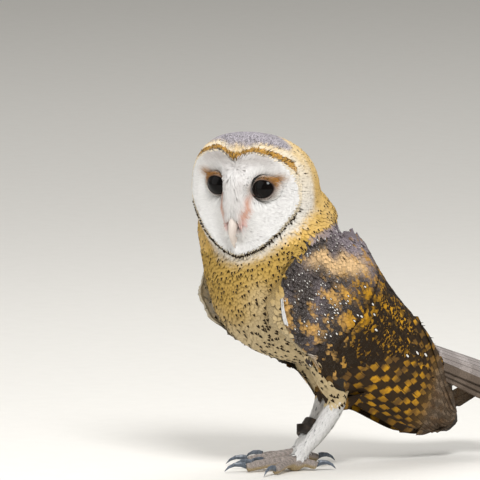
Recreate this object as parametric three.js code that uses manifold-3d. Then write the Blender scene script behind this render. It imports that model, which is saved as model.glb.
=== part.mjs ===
// A barn owl standing at rest, life size, with its head turned a little to its left.
// Millimetres, +Z up. The bird faces -Y, its left side is +X and it stands on z = 0.
import * as THREE from 'three';
import { mergeVertices } from 'three/addons/utils/BufferGeometryUtils.js';
import Module from 'manifold-3d';

const wasm = await Module();
wasm.setup();

// ---------------------------------------------------------------- driving dimensions
const GAP = 0.3; // clearance between neighbouring pieces

// The spine runs from inside the head down the neck and back to the wing tips.
// Each place on it is [y, z], and stations are measured along it in millimetres.
const SPINE = [[-30, 236], [-29, 205], [-6, 167], [40, 131], [87, 91], [130, 55], [174, 15]];
const STATION = { neckTop: 0, neckBase: 34, rump: 198, wingFront: 39, wingTip: 296 };

const HEAD = {
  x: 7.2,
  y: -36.6,
  z: 236,
  yaw: 28, // degrees to the owl's left
  pitch: 5, // degrees that the face looks down
  roll: 2, // degrees that its right side is raised
  halfWidth: 57,
  halfHeight: 54,
  backDepth: 52,
  squareness: 2.2, // 2 is an oval seen from the front, more is boxier
  roundness: 2.4, // the same for the head seen from the side
  ruff: 0.35, // share of one ring's step at which the ruff stands round the disc
};

const DISC = {
  halfWidth: 52, // widest half of the heart
  widestZ: 1,
  lobeRise: 39, // from the widest level up to the lobes
  chinDrop: 49, // from the widest level down to the point
  notch: 7,
  notchWidth: 9,
  rimDepth: -35, // how far in front of the head's centre the rim stands
  rimCurve: 0.0065, // how fast the rim falls back towards the sides
  dish: 5, // how deep the eyes' hollow lies behind the rim
  ridge: 10, // how far the feathered ridge over the bill stands out
  ridgeWidth: 14,
  ridgeTop: 20, // the levels it starts and ends at
  ridgeFoot: -30,
};

const EYE = { radius: 11, x: 21.3, y: -24, z: 9.2 };
const BILL = { length: 25, width: 11, depth: 12, topZ: -17 };

const WING = { thickness: 5.2, edge: 1.6, recess: 6.8, leftDrop: 0, rightDrop: 5 };

const TAIL = {
  baseY: 76,
  baseZ: 117.5,
  slope: 19,
  length: 137,
  baseHalfWidth: 15,
  tipHalfWidth: 36,
  arch: 17,
  thickness: 4,
};

const LEG = {
  halfStance: 19,
  footTurn: -20, // degrees that both feet point to the owl's right
  leftFootY: -3,
  rightFootY: 24,
  ankleHeight: 13,
  hockHeight: 58,
  leftHockY: 35,
  rightHockY: 56,
  tarsusRadius: 8.2,
};

const TOE = { radius: 4.4, hind: 19, inner: 35, middle: 42, outer: 34 };
const CLAW = { length: 19, radius: 2.4, hindShare: 0.85 };
const ANKLET = { height: 16, wall: 1.5, tab: 9, share: 0.5 };

// ---------------------------------------------------------------- finishes
const finish = (color, roughness) => new THREE.MeshStandardMaterial({ color, roughness, metalness: 0 });
const FINISH = {
  golden: () => finish(0xd2a660, 0.9),
  breast: () => finish(0xcaa05a, 0.9),
  slate: () => finish(0x6d665f, 0.9),
  tail: () => finish(0xb7ab9c, 0.9),
  white: () => finish(0xe9e6df, 0.9),
  toes: () => finish(0xc9b3a0, 0.7),
  eye: () => finish(0x0b0807, 0.08),
  bill: () => finish(0xe3cfbf, 0.45),
  claw: () => finish(0x39404a, 0.35),
  leather: () => finish(0x2f2823, 0.7),
};

// ---------------------------------------------------------------- small helpers
const rad = THREE.MathUtils.degToRad;
const { lerp, clamp, smoothstep } = THREE.MathUtils;
const v3 = (x, y, z) => new THREE.Vector3(x, y, z);
const steps = (count) => Array.from({ length: count }, (_, i) => i / (count - 1));
const circle = (count) => Array.from({ length: count }, (_, i) => (2 * Math.PI * i) / count);

// A smooth curve through a few knots [position, value].
function profile(knots) {
  const slopeAt = (i) => {
    const before = knots[Math.max(i - 1, 0)];
    const after = knots[Math.min(i + 1, knots.length - 1)];
    return (after[1] - before[1]) / (after[0] - before[0]);
  };
  return (x) => {
    const last = knots.length - 1;
    if (x <= knots[0][0]) return knots[0][1];
    if (x >= knots[last][0]) return knots[last][1];
    const i = knots.findIndex((knot) => knot[0] > x) - 1;
    const width = knots[i + 1][0] - knots[i][0];
    const t = (x - knots[i][0]) / width;
    const h = t * t * (3 - 2 * t);
    const rise = t * (1 - t) ** 2 * width * slopeAt(i) - t * t * (1 - t) * width * slopeAt(i + 1);
    return lerp(knots[i][1], knots[i + 1][1], h) + rise;
  };
}

// A closed surface through rings of points, with both ends drawn to a point.
function loft(rings) {
  const around = rings[0].length;
  const points = rings.flat();
  const middle = (ring) => ring.reduce((sum, p) => sum.add(p), v3(0, 0, 0)).divideScalar(around);
  const first = points.push(middle(rings[0])) - 1;
  const last = points.push(middle(rings[rings.length - 1])) - 1;
  const faces = [];
  rings.forEach((ring, r) => {
    for (let i = 0; i < around; i += 1) {
      const j = (i + 1) % around;
      const a = r * around;
      if (r === 0) faces.push(first, j, i);
      if (r === rings.length - 1) faces.push(last, a + i, a + j);
      else faces.push(a + i, a + j, a + j + around, a + i, a + j + around, a + i + around);
    }
  });
  return solidFrom(points, faces);
}

function signedVolume(points, faces) {
  let volume = 0;
  for (let f = 0; f < faces.length; f += 3) {
    const [a, b, c] = [points[faces[f]], points[faces[f + 1]], points[faces[f + 2]]];
    volume += a.dot(b.clone().cross(c));
  }
  return volume;
}

// Turns points and faces into a manifold-3d solid with its faces pointing out.
function solidFrom(points, faces) {
  const outward = signedVolume(points, faces) > 0 ? faces : faces.slice().reverse();
  const geometry = new THREE.BufferGeometry().setFromPoints(points).setIndex(outward);
  return solidOf(geometry);
}

function solidOf(geometry) {
  const bare = geometry.clone();
  bare.deleteAttribute('normal');
  bare.deleteAttribute('uv');
  const merged = mergeVertices(bare, 1e-3);
  return new wasm.Manifold(new wasm.Mesh({
    numProp: 3,
    vertProperties: new Float32Array(merged.attributes.position.array),
    triVerts: new Uint32Array(merged.index.array),
  }));
}

function geometryOf(solid) {
  const mesh = solid.getMesh();
  const geometry = new THREE.BufferGeometry();
  geometry.setAttribute('position', new THREE.BufferAttribute(mesh.vertProperties, 3));
  geometry.setIndex(new THREE.BufferAttribute(mesh.triVerts, 1));
  geometry.computeVertexNormals();
  return geometry;
}

const cutBy = (solid, ...others) => others.reduce((rest, other) => rest.subtract(other), solid);
const joined = (...solids) => solids.reduce((all, next) => all.add(next));
const moved = (solid, matrix) => solid.transform(matrix.elements);

// A round limb along a curve; radius(t) gives its half thickness across and up.
function limb(curve, radius, stations, sides, across = null) {
  const rings = steps(stations).map((t) => {
    const centre = curve.getPoint(t);
    const along = curve.getTangent(t);
    const side = across ?? v3(0, 0, 1).cross(along).normalize();
    const up = along.clone().cross(side);
    const r = radius(t);
    return circle(sides).map((angle) => centre.clone()
      .addScaledVector(side, r.across * Math.cos(angle))
      .addScaledVector(up, r.up * Math.sin(angle)));
  });
  return loft(rings);
}

const slab = (width, depth, height, x, y, z) => {
  const box = new THREE.BoxGeometry(width, depth, height);
  box.translate(x, y, z);
  return solidOf(box);
};
const UNDERGROUND = slab(900, 900, 100, 0, 0, -50);

// ---------------------------------------------------------------- body axis
const spine = new THREE.CatmullRomCurve3(SPINE.map(([y, z]) => v3(0, y, z)), false, 'centripetal');
spine.arcLengthDivisions = 400;
const spineLength = spine.getLength();

// A point at a station on the spine, x to the left side and b towards the back.
function bodyPoint(station, x, b) {
  const tilt = rad(lean(station));
  const centre = spine.getPointAt(clamp(station / spineLength, 0, 1));
  return centre.add(v3(x, b * Math.cos(tilt), b * Math.sin(tilt)));
}

// How far a cross-section leans back from level: little at the neck, most at the rump.
const lean = profile([[0, 5], [40, 20], [110, 49], [300, 49]]);

// The bird's outline in its feathers, at a station on the spine: half its width, and how
// far its back and its breast stand from the spine.
const halfWidth = profile([
  [0, 53], [30, 63], [60, 62], [104, 57], [147, 51], [184, 43], [219, 37], [300, 20],
]);
const backDepth = profile([
  [0, 50], [14, 60], [34, 68], [74, 68], [110, 65], [147, 54], [184, 45], [219, 38], [300, 12],
]);
const breastDepth = profile([
  [0, 20], [18, 28], [34, 36], [50, 54], [66, 68], [84, 71], [110, 66], [147, 54], [184, 46],
  [259, 30], [300, 14],
]);

// The neck turns with the head: its throat leads and its nape stays over the back.
const neckTurn = profile([[0, HEAD.yaw], [30, HEAD.yaw * 0.8], [84, 0]]);

// Rounds the end of a form: 1 along most of it and falling to 0 over the last stretch.
const roundedEnd = (distance, stretch) => Math.sqrt(1 - (1 - clamp(distance / stretch, 0, 1)) ** 2);

// ---------------------------------------------------------------- neck and trunk
// The body between two stations, as one closed form.
function body(from, to, stations, grow) {
  const rings = steps(stations).map((t) => {
    const a = lerp(from, to, Math.sin((Math.PI / 2) * t));
    const end = roundedEnd(STATION.rump + grow - a, 80);
    const covered = WING.recess * smoothstep(a, 30, 74);
    const wide = end * (halfWidth(a) - covered) + grow;
    const back = end * (backDepth(a) - covered) + grow;
    const belly = end * (breastDepth(a) - covered * 0.2) + grow;
    return circle(24).map((angle) => {
      const across = Math.cos(angle);
      const onBelly = Math.sin(angle) < 0;
      const boxy = onBelly ? lerp(1, 0.75, smoothstep(a, 60, 110)) : 1;
      const x = wide * Math.sign(across) * Math.abs(across) ** boxy;
      const b = Math.sin(angle) * (onBelly ? belly : back);
      const turn = rad(neckTurn(a)) * (1 - Math.sin(angle)) / 2;
      const turnedX = x * Math.cos(turn) - b * Math.sin(turn);
      const turnedB = b * Math.cos(turn) + x * Math.sin(turn);
      return bodyPoint(a, turnedX, turnedB);
    });
  });
  return loft(rings);
}

const neck = (grow) => body(STATION.neckTop, STATION.neckBase + grow, 6, grow);
const trunk = (grow) => body(STATION.neckBase + GAP - grow, STATION.rump + grow, 15, grow);

// ---------------------------------------------------------------- wings
// The angles round the body of a wing's lower and upper edge.
const wingLow = profile([[42, 2], [56, -40], [74, -56], [104, -58], [140, -66], [180, -80], [300, -88]]);
const wingHigh = profile([[42, 30], [60, 52], [84, 68], [124, 80], [174, 86], [300, 88]]);

// A folded wing, a curved shell that hugs the side of the body and runs on to its tip.
// The drop lets its front lower edge hang away from the breast.
function wing(side, drop, grow) {
  const rings = steps(19).map((t) => {
    const a = lerp(STATION.wingFront, STATION.wingTip, Math.sin((Math.PI / 2) * t ** 1.25));
    const end = roundedEnd(a - STATION.wingFront, 38);
    const tip = roundedEnd(STATION.wingTip - a, 46);
    const thick = WING.thickness * end * lerp(0.45, 1, tip) + 0.4;
    const widen = grow / 25;
    const low = rad(wingLow(a) - drop * end * roundedEnd(150 - a, 60)) - widen;
    const high = rad(wingHigh(a)) + widen;
    const wide = halfWidth(a) * lerp(0.75, 1, tip);
    const openTop = lerp(1, 0.3, smoothstep(a, 150, 215));
    const arc = (share, lift) => {
      const angle = lerp(low, high, share);
      const fullness = angle < 0 ? 0.62 : openTop;
      const hang = angle < 0 ? drop * Math.sin(angle) ** 2 * roundedEnd(150 - a, 60) : 0;
      const x = Math.max((wide + lift) * Math.max(Math.cos(angle), 0) ** fullness + hang, 2.2 - grow);
      const tall = (angle < 0 ? breastDepth(a) : backDepth(a)) * tip + 2;
      return bodyPoint(a, side * x, (tall + lift) * Math.sin(angle));
    };
    const outer = steps(11).map((s) => arc(s, grow));
    const inner = steps(9).slice(1, 8).reverse().map((s) => {
      const bulge = Math.sin(Math.PI * s) ** 0.5;
      return arc(s, -Math.max(thick * bulge, WING.edge) - grow);
    });
    return [...outer, ...inner];
  });
  return loft(rings);
}

const leftWing = (grow) => wing(1, WING.leftDrop, grow);
const rightWing = (grow) => wing(-1, WING.rightDrop, grow);

// ---------------------------------------------------------------- tail
const tailSlope = rad(TAIL.slope);

function tail(grow) {
  const rings = steps(7).map((t) => {
    const a = TAIL.length * Math.sin((Math.PI / 2) * t);
    const spread = lerp(TAIL.baseHalfWidth, TAIL.tipHalfWidth, t ** 0.8);
    const half = spread * lerp(0.82, 1, roundedEnd(TAIL.length - a, 10));
    const thick = lerp(TAIL.thickness * 2.4, TAIL.thickness * 0.7, t ** 0.6) / 2 + grow;
    const drop = TAIL.arch * lerp(0.6, 1, t);
    const point = (s, lift) => {
      const b = -drop * s * s + lift;
      return v3(
        s * (half + grow),
        TAIL.baseY + a * Math.cos(tailSlope) + b * Math.sin(tailSlope),
        TAIL.baseZ - a * Math.sin(tailSlope) + b * Math.cos(tailSlope),
      );
    };
    const across = steps(8).map((s) => 2 * s - 1);
    const thinned = (s) => thick * lerp(1, 0.5, Math.abs(s));
    const top = across.map((s) => point(s, thinned(s)));
    const under = across.slice().reverse().map((s) => point(s, -thinned(s)));
    return [...top, ...under];
  });
  return loft(rings);
}

// ---------------------------------------------------------------- head
// The facial disc's heart, as an angle that runs round it from the notch.
function heart(angle) {
  const across = Math.sin(angle);
  const x = DISC.halfWidth * across;
  const reach = Math.abs(across);
  const notch = DISC.notch * Math.exp(-((x / DISC.notchWidth) ** 2));
  const above = DISC.lobeRise * (1 - reach ** 2.8) ** 0.45 - notch;
  const below = -DISC.chinDrop * (1 - reach ** 1.6) ** 0.72;
  return { x, z: DISC.widestZ + (Math.cos(angle) > 0 ? above : below) };
}

// How far forward the face stands at a place on it, rim at share 1 and middle at share 0.
function faceDepth(x, z, share) {
  const rimCurve = DISC.rimCurve * x * x;
  const hollow = DISC.dish * Math.sin(Math.PI * clamp(share, 0, 1)) ** 1.4;
  const ridgeFade = smoothstep(z, -44, -8) * (1 - smoothstep(z, 12, 34) * 0.7);
  const ridge = DISC.ridge * Math.exp(-((x / DISC.ridgeWidth) ** 2)) * ridgeFade;
  return DISC.rimDepth + rimCurve + hollow - ridge;
}

const headAngles = new THREE.Euler(rad(HEAD.pitch), rad(HEAD.roll), rad(HEAD.yaw), 'ZYX');
const headMatrix = new THREE.Matrix4().compose(
  v3(HEAD.x, HEAD.y, HEAD.z),
  new THREE.Quaternion().setFromEuler(headAngles),
  v3(1, 1, 1),
);

function head(grow) {
  const around = 32;
  const faceRings = 7;
  const backRings = 8;
  const rings = [];
  for (let r = 0; r < faceRings; r += 1) {
    const share = (r + 0.6) / (faceRings - 0.4);
    rings.push(circle(around).map((angle) => {
      const rim = heart(angle);
      const x = rim.x * share;
      const z = lerp(lerp(DISC.ridgeFoot, DISC.ridgeTop, (1 + Math.cos(angle)) / 2), rim.z, share);
      const spread = 1 + grow / DISC.halfWidth;
      return v3(x * spread, faceDepth(x, z, share) - grow, z * spread);
    }));
  }
  for (const r of [HEAD.ruff, ...steps(backRings).map((t) => lerp(1, backRings, t))]) {
    const depth = Math.sin((Math.PI / 2) * (r / (backRings + 0.4)));
    const girth = (1 - depth ** HEAD.roundness) ** (1 / HEAD.roundness);
    rings.push(circle(around).map((angle) => {
      const rim = heart(angle);
      const square = (share) => Math.sign(share) * Math.abs(share) ** (2 / HEAD.squareness);
      const wide = (HEAD.halfWidth + grow) * square(Math.sin(angle));
      const high = (HEAD.halfHeight + grow) * square(Math.cos(angle));
      const blend = Math.min(r / (2 * HEAD.ruff), 1);
      const round = v3(wide, 0, high).multiplyScalar(girth);
      const start = v3(rim.x, 0, rim.z).multiplyScalar(1 + grow / DISC.halfWidth);
      const place = start.lerp(round, blend);
      const rimY = DISC.rimDepth + DISC.rimCurve * rim.x * rim.x;
      place.y = lerp(rimY, HEAD.backDepth + grow, depth);
      return place;
    }));
  }
  return loft(rings);
}

// ---------------------------------------------------------------- legs and feet
const LEGS = {
  left: { side: 1, footY: LEG.leftFootY, hockY: LEG.leftHockY },
  right: { side: -1, footY: LEG.rightFootY, hockY: LEG.rightHockY },
};

const ankleOf = (leg) => v3(leg.side * LEG.halfStance, leg.footY, LEG.ankleHeight);
const hockOf = (leg) => v3(leg.side * (LEG.halfStance + 5), leg.hockY, LEG.hockHeight);

function thigh(leg, grow) {
  const hock = hockOf(leg);
  const top = v3(leg.side * (LEG.halfStance + 9), leg.hockY - 14, LEG.hockHeight + 48);
  const curve = new THREE.LineCurve3(top, hock.clone().add(v3(0, 1, -2)));
  const thick = profile([[0, 23], [0.5, 19.5], [0.85, 13], [1, 9]]);
  return limb(curve, (t) => ({ across: thick(t) * 0.75 + grow, up: thick(t) + grow }), 8, 16);
}

function tarsusCurve(leg) {
  const hock = hockOf(leg);
  const ankle = ankleOf(leg);
  const bend = hock.clone().lerp(ankle, 0.5).add(v3(0, 6, -6));
  return new THREE.QuadraticBezierCurve3(hock, bend, ankle);
}

function tarsus(leg, grow) {
  const r = LEG.tarsusRadius;
  const thick = profile([[0, r * 1.1], [0.3, r * 1.05], [0.75, r * 0.88], [1, r * 0.85]]);
  return limb(tarsusCurve(leg), (t) => ({ across: thick(t) + grow, up: thick(t) + grow }), 6, 10);
}

const TOES = [
  { name: 'inner', heading: -24, length: TOE.inner },
  { name: 'middle', heading: 2, length: TOE.middle },
  { name: 'outer', heading: 48, length: TOE.outer },
  { name: 'hind', heading: 172, length: TOE.hind },
];

// Where a toe starts, arches and ends, and the way it points along the ground.
function toePath(leg, toe) {
  const heading = rad(toe.heading * leg.side + LEG.footTurn);
  const ahead = v3(Math.sin(heading), -Math.cos(heading), 0);
  const root = v3(leg.side * LEG.halfStance, leg.footY - 2, 8.5);
  const end = root.clone().addScaledVector(ahead, toe.length).setZ(3.8);
  const arch = root.clone().lerp(end, 0.55).setZ(7.4);
  return { ahead, end, curve: new THREE.QuadraticBezierCurve3(root, arch, end) };
}

function toeSolid(leg, toe, grow) {
  const { curve } = toePath(leg, toe);
  const thick = (t) => TOE.radius * (1 + 0.11 * Math.cos(t * 6 * Math.PI)) * lerp(1.12, 0.9, t) + grow;
  return limb(curve, (t) => ({ across: thick(t), up: thick(t) * 1.02 }), 5, 7);
}

function foot(leg, grow) {
  const palm = new THREE.SphereGeometry(8.2 + grow, 9, 7);
  palm.scale(1, 1.05, 0.92);
  palm.translate(leg.side * LEG.halfStance, leg.footY - 2, 6.5);
  const toes = TOES.map((toe) => toeSolid(leg, toe, grow));
  return cutBy(joined(solidOf(palm), ...toes), UNDERGROUND);
}

function claw(leg, toe) {
  const { ahead, end } = toePath(leg, toe);
  const reach = CLAW.length * (toe.name === 'hind' ? CLAW.hindShare : 1);
  const start = end.clone().addScaledVector(ahead, -1.5).setZ(5.4);
  const top = end.clone().addScaledVector(ahead, reach * 0.62).setZ(10.2);
  const tip = end.clone().addScaledVector(ahead, reach).setZ(1.1);
  const curve = new THREE.QuadraticBezierCurve3(start, top, tip);
  const thick = (t) => CLAW.radius * (1 - t) ** 0.75 + 0.25;
  return limb(curve, (t) => ({ across: thick(t) * 0.85, up: thick(t) * 1.15 }), 5, 6);
}

// ---------------------------------------------------------------- anklet
function anklet(leg) {
  const curve = tarsusCurve(leg);
  const from = ANKLET.share;
  const to = from + ANKLET.height / curve.getLength();
  const part = new THREE.LineCurve3(curve.getPoint(to), curve.getPoint(from));
  const radius = LEG.tarsusRadius + ANKLET.wall + 0.6;
  const cuff = limb(part, () => ({ across: radius, up: radius }), 2, 14);
  const edge = curve.getPoint(lerp(from, to, 0.35));
  const tab = slab(2.6, ANKLET.tab, 7, edge.x, edge.y - radius - 1, edge.z + 2);
  return joined(cuff, tab).subtract(tarsus(leg, GAP));
}

// ---------------------------------------------------------------- eyes and bill
function eye(side, grow) {
  const ball = new THREE.SphereGeometry(EYE.radius + grow, 13, 8);
  ball.scale(1, 0.8, 0.95);
  ball.translate(side * EYE.x, EYE.y, EYE.z);
  return solidOf(ball);
}

function upperBill(grow) {
  const root = v3(0, -36, BILL.topZ);
  const arch = v3(0, -47, BILL.topZ - BILL.length * 0.4);
  const tip = v3(0, -37, BILL.topZ - BILL.length);
  const curve = new THREE.QuadraticBezierCurve3(root, arch, tip);
  const thick = (t) => (1 - t) ** 0.7 + 0.06;
  return limb(curve, (t) => ({
    across: (BILL.width / 2) * thick(t) + grow,
    up: (BILL.depth / 2) * thick(t) + grow,
  }), 8, 12, v3(1, 0, 0));
}

function lowerBill() {
  const root = v3(0, -34, BILL.topZ - 6);
  const tip = v3(0, -36, BILL.topZ - BILL.length * 0.82);
  const curve = new THREE.LineCurve3(root, tip);
  const thick = (t) => lerp(1, 0.35, t);
  return limb(curve, (t) => ({ across: 2.8 * thick(t), up: 3 * thick(t) }), 4, 8);
}

// ---------------------------------------------------------------- assembly
const owl = new THREE.Group();
const stance = new THREE.Group();
const headTurn = new THREE.Group();
headTurn.applyMatrix4(headMatrix);
stance.add(headTurn);
owl.add(stance);

function place(name, solid, material, group = stance) {
  const mesh = new THREE.Mesh(geometryOf(solid), material);
  mesh.name = name;
  group.add(mesh);
}

const headPlaced = moved(head(GAP), headMatrix);
const trunkGrown = trunk(GAP);
const sockets = [eye(1, GAP), eye(-1, GAP)];
const thighs = Object.values(LEGS).map((leg) => thigh(leg, GAP));
const wingsGrown = [leftWing(GAP), rightWing(GAP)];

place('head', cutBy(head(0), ...sockets, upperBill(GAP)), FINISH.golden(), headTurn);
place('eye_left', eye(1, 0), FINISH.eye(), headTurn);
place('eye_right', eye(-1, 0), FINISH.eye(), headTurn);
place('bill_upper', upperBill(0), FINISH.bill(), headTurn);
place('bill_lower', cutBy(lowerBill(), upperBill(GAP), head(GAP)), FINISH.bill(), headTurn);
place('neck', cutBy(neck(0), headPlaced), FINISH.golden());
place('trunk', cutBy(trunk(0), headPlaced), FINISH.breast());
place('tail', cutBy(tail(0), trunkGrown, ...wingsGrown), FINISH.tail());

place('wing_left', cutBy(leftWing(0), trunkGrown, ...thighs), FINISH.slate());
place('wing_right', cutBy(rightWing(0), trunkGrown, ...thighs), FINISH.slate());

for (const [name, leg] of Object.entries(LEGS)) {
  place(`thigh_${name}`, cutBy(thigh(leg, 0), trunkGrown), FINISH.breast());
  const shank = cutBy(tarsus(leg, 0), thigh(leg, GAP), foot(leg, GAP), ...wingsGrown);
  place(`tarsus_${name}`, shank, FINISH.white());
  place(`foot_${name}`, foot(leg, 0), FINISH.toes());
  for (const toe of TOES) {
    place(`claw_${name}_${toe.name}`, cutBy(claw(leg, toe), foot(leg, GAP)), FINISH.claw());
  }
}
place('anklet_right', anklet(LEGS.right), FINISH.leather());

// The origin sits on the floor, under the middle of the whole bird.
const bounds = new THREE.Box3().setFromObject(owl, true);
stance.position.set(-(bounds.min.x + bounds.max.x) / 2, -(bounds.min.y + bounds.max.y) / 2, 0);

export default owl;
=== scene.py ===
# A barn owl at rest, life size: its skin, feathers, eyes, bill, claws and anklet.
import math
from types import SimpleNamespace

import bmesh
import bpy
import numpy as np
from bpy.props import FloatProperty, FloatVectorProperty, IntProperty, PointerProperty
from mathutils import Euler, Matrix, Vector
from mathutils.bvhtree import BVHTree


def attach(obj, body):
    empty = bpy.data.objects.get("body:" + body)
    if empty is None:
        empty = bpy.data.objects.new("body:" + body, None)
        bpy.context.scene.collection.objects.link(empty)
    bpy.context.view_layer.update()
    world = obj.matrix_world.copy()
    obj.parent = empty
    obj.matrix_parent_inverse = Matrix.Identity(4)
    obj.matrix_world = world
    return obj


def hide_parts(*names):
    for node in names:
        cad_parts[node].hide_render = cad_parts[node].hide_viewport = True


bl_info = {
    "name": "Barn owl",
    "version": (1, 0, 0),
    "blender": (4, 5, 0),
    "location": "3D View > Sidebar > Owl",
    "description": "Dresses the solids of a standing barn owl in skin, feathers and horn",
    "category": "Object",
}

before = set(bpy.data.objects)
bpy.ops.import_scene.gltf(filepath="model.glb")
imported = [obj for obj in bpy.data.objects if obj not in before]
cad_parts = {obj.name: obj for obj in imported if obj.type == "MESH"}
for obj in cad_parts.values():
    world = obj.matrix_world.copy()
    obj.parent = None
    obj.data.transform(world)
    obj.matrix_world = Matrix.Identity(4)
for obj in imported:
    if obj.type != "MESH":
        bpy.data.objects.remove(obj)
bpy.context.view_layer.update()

MM = 0.001
FLESH = (
    "head", "neck", "trunk", "tail", "wing_left", "wing_right", "thigh_left", "thigh_right",
    "tarsus_left", "tarsus_right", "foot_left", "foot_right",
)
# Where the solids' own axes lie in the frame, in millimetres.
STANCE = np.array([2.4007, -63.4648, 0.0])
HEAD_PLACE = Matrix.LocRotScale(
    Vector((7.2, -36.6, 236.0)), Euler((math.radians(5), math.radians(2), math.radians(28))), None
)
SPINE = np.array([[-30, 236], [-29, 205], [-6, 167], [40, 131], [87, 91], [130, 55], [174, 15]])
EYE_PLACE = (21.3, -24.0, 9.2)
GLANCE = 1.5  # both eyes are set this far towards the owl's left
EYE_RADIUS, EYE_DEPTH, EYE_HEIGHT = 11.0, 0.8, 0.95  # the radius, and shares of it
RIDGE = (-30, 20)  # heights in the head between which the ridge of the disc runs
VIEW_TURN, VIEW_RISE = 57, 6  # where the camera stands, in degrees
LEFT_FOOT = np.array([21.4, -68.5])
RIGHT_FOOT = np.array([-16.6, -41.5])


# ------------------------------------------------------------------ sizes and colours
def length(name, default, description):
    return FloatProperty(name=name, description=description, default=default * MM, unit="LENGTH",
                         min=0.0001, max=0.2, precision=4)


def colour(name, default, description):
    return FloatVectorProperty(name=name, description=description, default=default,
                               subtype="COLOR", size=3, min=0.0, max=1.0)


class OwlSizes(bpy.types.PropertyGroup):
    voxel: length("Skin cell", 1.5, "Size of the cells that the skin is built from")
    face_depth: length("Face coat", 1.6, "Depth of the coat on the facial disc")
    crown_depth: length("Crown coat", 3.0, "Depth of the coat on the crown and nape")
    body_depth: length("Body coat", 4.5, "Depth of the coat on the breast, belly and back")
    wing_depth: length("Wing coat", 1.8, "Depth of the coverts over the wing")
    leg_depth: length("Leg coat", 1.5, "Depth of the down on the legs")
    face_feather: length("Face feather", 6.0, "Length of the feathers of the facial disc")
    crown_feather: length("Crown feather", 7.0, "Length of the feathers on the crown")
    breast_feather: length("Breast feather", 12.0, "Length of the feathers on the breast")
    mantle_feather: length("Mantle feather", 17.0, "Length of the feathers on the back")
    seed: IntProperty(name="Seed", description="Changes how the feathers are scattered",
                      default=7, min=0, max=999)


class OwlColours(bpy.types.PropertyGroup):
    disc: colour("Disc", (0.80, 0.79, 0.775), "White of the facial disc")
    golden: colour("Golden", (0.67, 0.42, 0.10), "Golden buff of the neck and nape")
    cream: colour("Cream", (0.82, 0.68, 0.45), "Cream beside the ruff and on the belly")
    breast: colour("Breast", (0.46, 0.295, 0.075), "Ochre of the breast")
    slate: colour("Slate", (0.135, 0.115, 0.11), "Slate grey of the mantle and wings")
    orange: colour("Orange", (0.58, 0.29, 0.015), "Orange of the flight feathers")
    dark: colour("Dark", (0.026, 0.016, 0.009), "Blackish brown of bars and spots")
    horn: colour("Horn", (0.69, 0.61, 0.55), "Pinkish ivory of the bill")
    toes: colour("Toes", (0.35, 0.30, 0.27), "Bare skin of the toes")
    claws: colour("Claws", (0.045, 0.055, 0.07), "Slate blue horn of the claws")


# ------------------------------------------------------------------ small helpers
def sizes():
    return bpy.context.scene.owl_sizes


def paints():
    return bpy.context.scene.owl_colours


def unit(vectors):
    lengths = np.linalg.norm(vectors, axis=-1, keepdims=True)
    return vectors / np.maximum(lengths, 1e-9)


def dot(a, b):
    return np.sum(a * b, axis=-1)


def across(vectors, normals):
    """The part of each vector that lies in its surface."""
    return unit(vectors - dot(vectors, normals)[..., None] * normals)


def ease(x, low, high):
    t = np.clip((x - low) / (high - low), 0.0, 1.0)
    return t * t * (3 - 2 * t)


def wane(x, low, high):
    return 1 - ease(x, low, high)


def between(a, b, share):
    return a * (1 - share) + b * share


def mix(a, b, share):
    """Between two colours, by a share for each place."""
    return between(np.asarray(a), np.asarray(b), np.asarray(share)[..., None])


def uneven(tint, low, high, rng):
    """Tints made a little darker or lighter, each by its own share."""
    return tint * rng.uniform(low, high, (len(tint), 1))


def bump(x, middle, width):
    return np.exp(-(((x - middle) / width) ** 2))


def wavy(points, scale, seed=0):
    """Smooth variation between about -1 and 1 over space, from a few crossed waves."""
    rng = np.random.default_rng(seed)
    total = np.zeros(len(points))
    for _ in range(6):
        way = unit(rng.normal(size=3)) / scale * rng.uniform(0.6, 1.6)
        total += np.sin(points @ way * 2 * math.pi + rng.uniform(0, 2 * math.pi))
    return total / 3.0


# ------------------------------------------------------------------ where a point lies
def spine_table():
    """Points, stations and lean of the body's axis, in millimetres."""
    ends = np.vstack([2 * SPINE[0] - SPINE[1], SPINE, 2 * SPINE[-1] - SPINE[-2]])
    places = []
    for i in range(1, len(ends) - 2):
        p0, p1, p2, p3 = ends[i - 1:i + 3]
        for t in np.linspace(0, 1, 60, endpoint=False):
            places.append(0.5 * (2 * p1 + (p2 - p0) * t + (2 * p0 - 5 * p1 + 4 * p2 - p3) * t**2
                                 + (3 * p1 - p0 - 3 * p2 + p3) * t**3))
    places = np.array(places + [SPINE[-1]])
    station = np.concatenate([[0], np.cumsum(np.linalg.norm(np.diff(places, axis=0), axis=1))])
    lean = np.radians(np.interp(station, [0, 40, 75, 110, 300], [5, 20, 36, 49, 49]))
    return places, station, lean


AXIS, STATION, LEAN = spine_table()


def body_place(points):
    """Station on the body's axis, sideways x and height b over the axis, in millimetres."""
    p = points / MM - STANCE
    stations = np.empty(len(p))
    heights = np.empty(len(p))
    batch = 20000
    for start in range(0, len(p), batch):
        part = p[start:start + batch, 1:]
        away = part[:, None, :] - AXIS[None]
        off = -away[..., 0] * np.sin(LEAN) + away[..., 1] * np.cos(LEAN)
        up = away[..., 0] * np.cos(LEAN) + away[..., 1] * np.sin(LEAN)
        best = np.argmin(np.abs(off) + 0.02 * np.abs(up), axis=1)
        rows = np.arange(len(part))
        stations[start:start + batch] = STATION[best]
        heights[start:start + batch] = up[rows, best]
    return stations, p[:, 0], heights


def round_body(x, height):
    """The angle round the body in degrees: 0 at the sides, 90 on the back."""
    return np.degrees(np.arctan2(height, np.abs(x)))


def body_flow(points):
    """The way feathers lie on the body: along its axis, towards the tail."""
    station = body_place(points)[0]
    step = np.clip(np.searchsorted(STATION, station), 3, len(STATION) - 4)
    way = unit(AXIS[step + 3] - AXIS[step - 3])
    return np.column_stack([np.zeros(len(way)), way])


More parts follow.
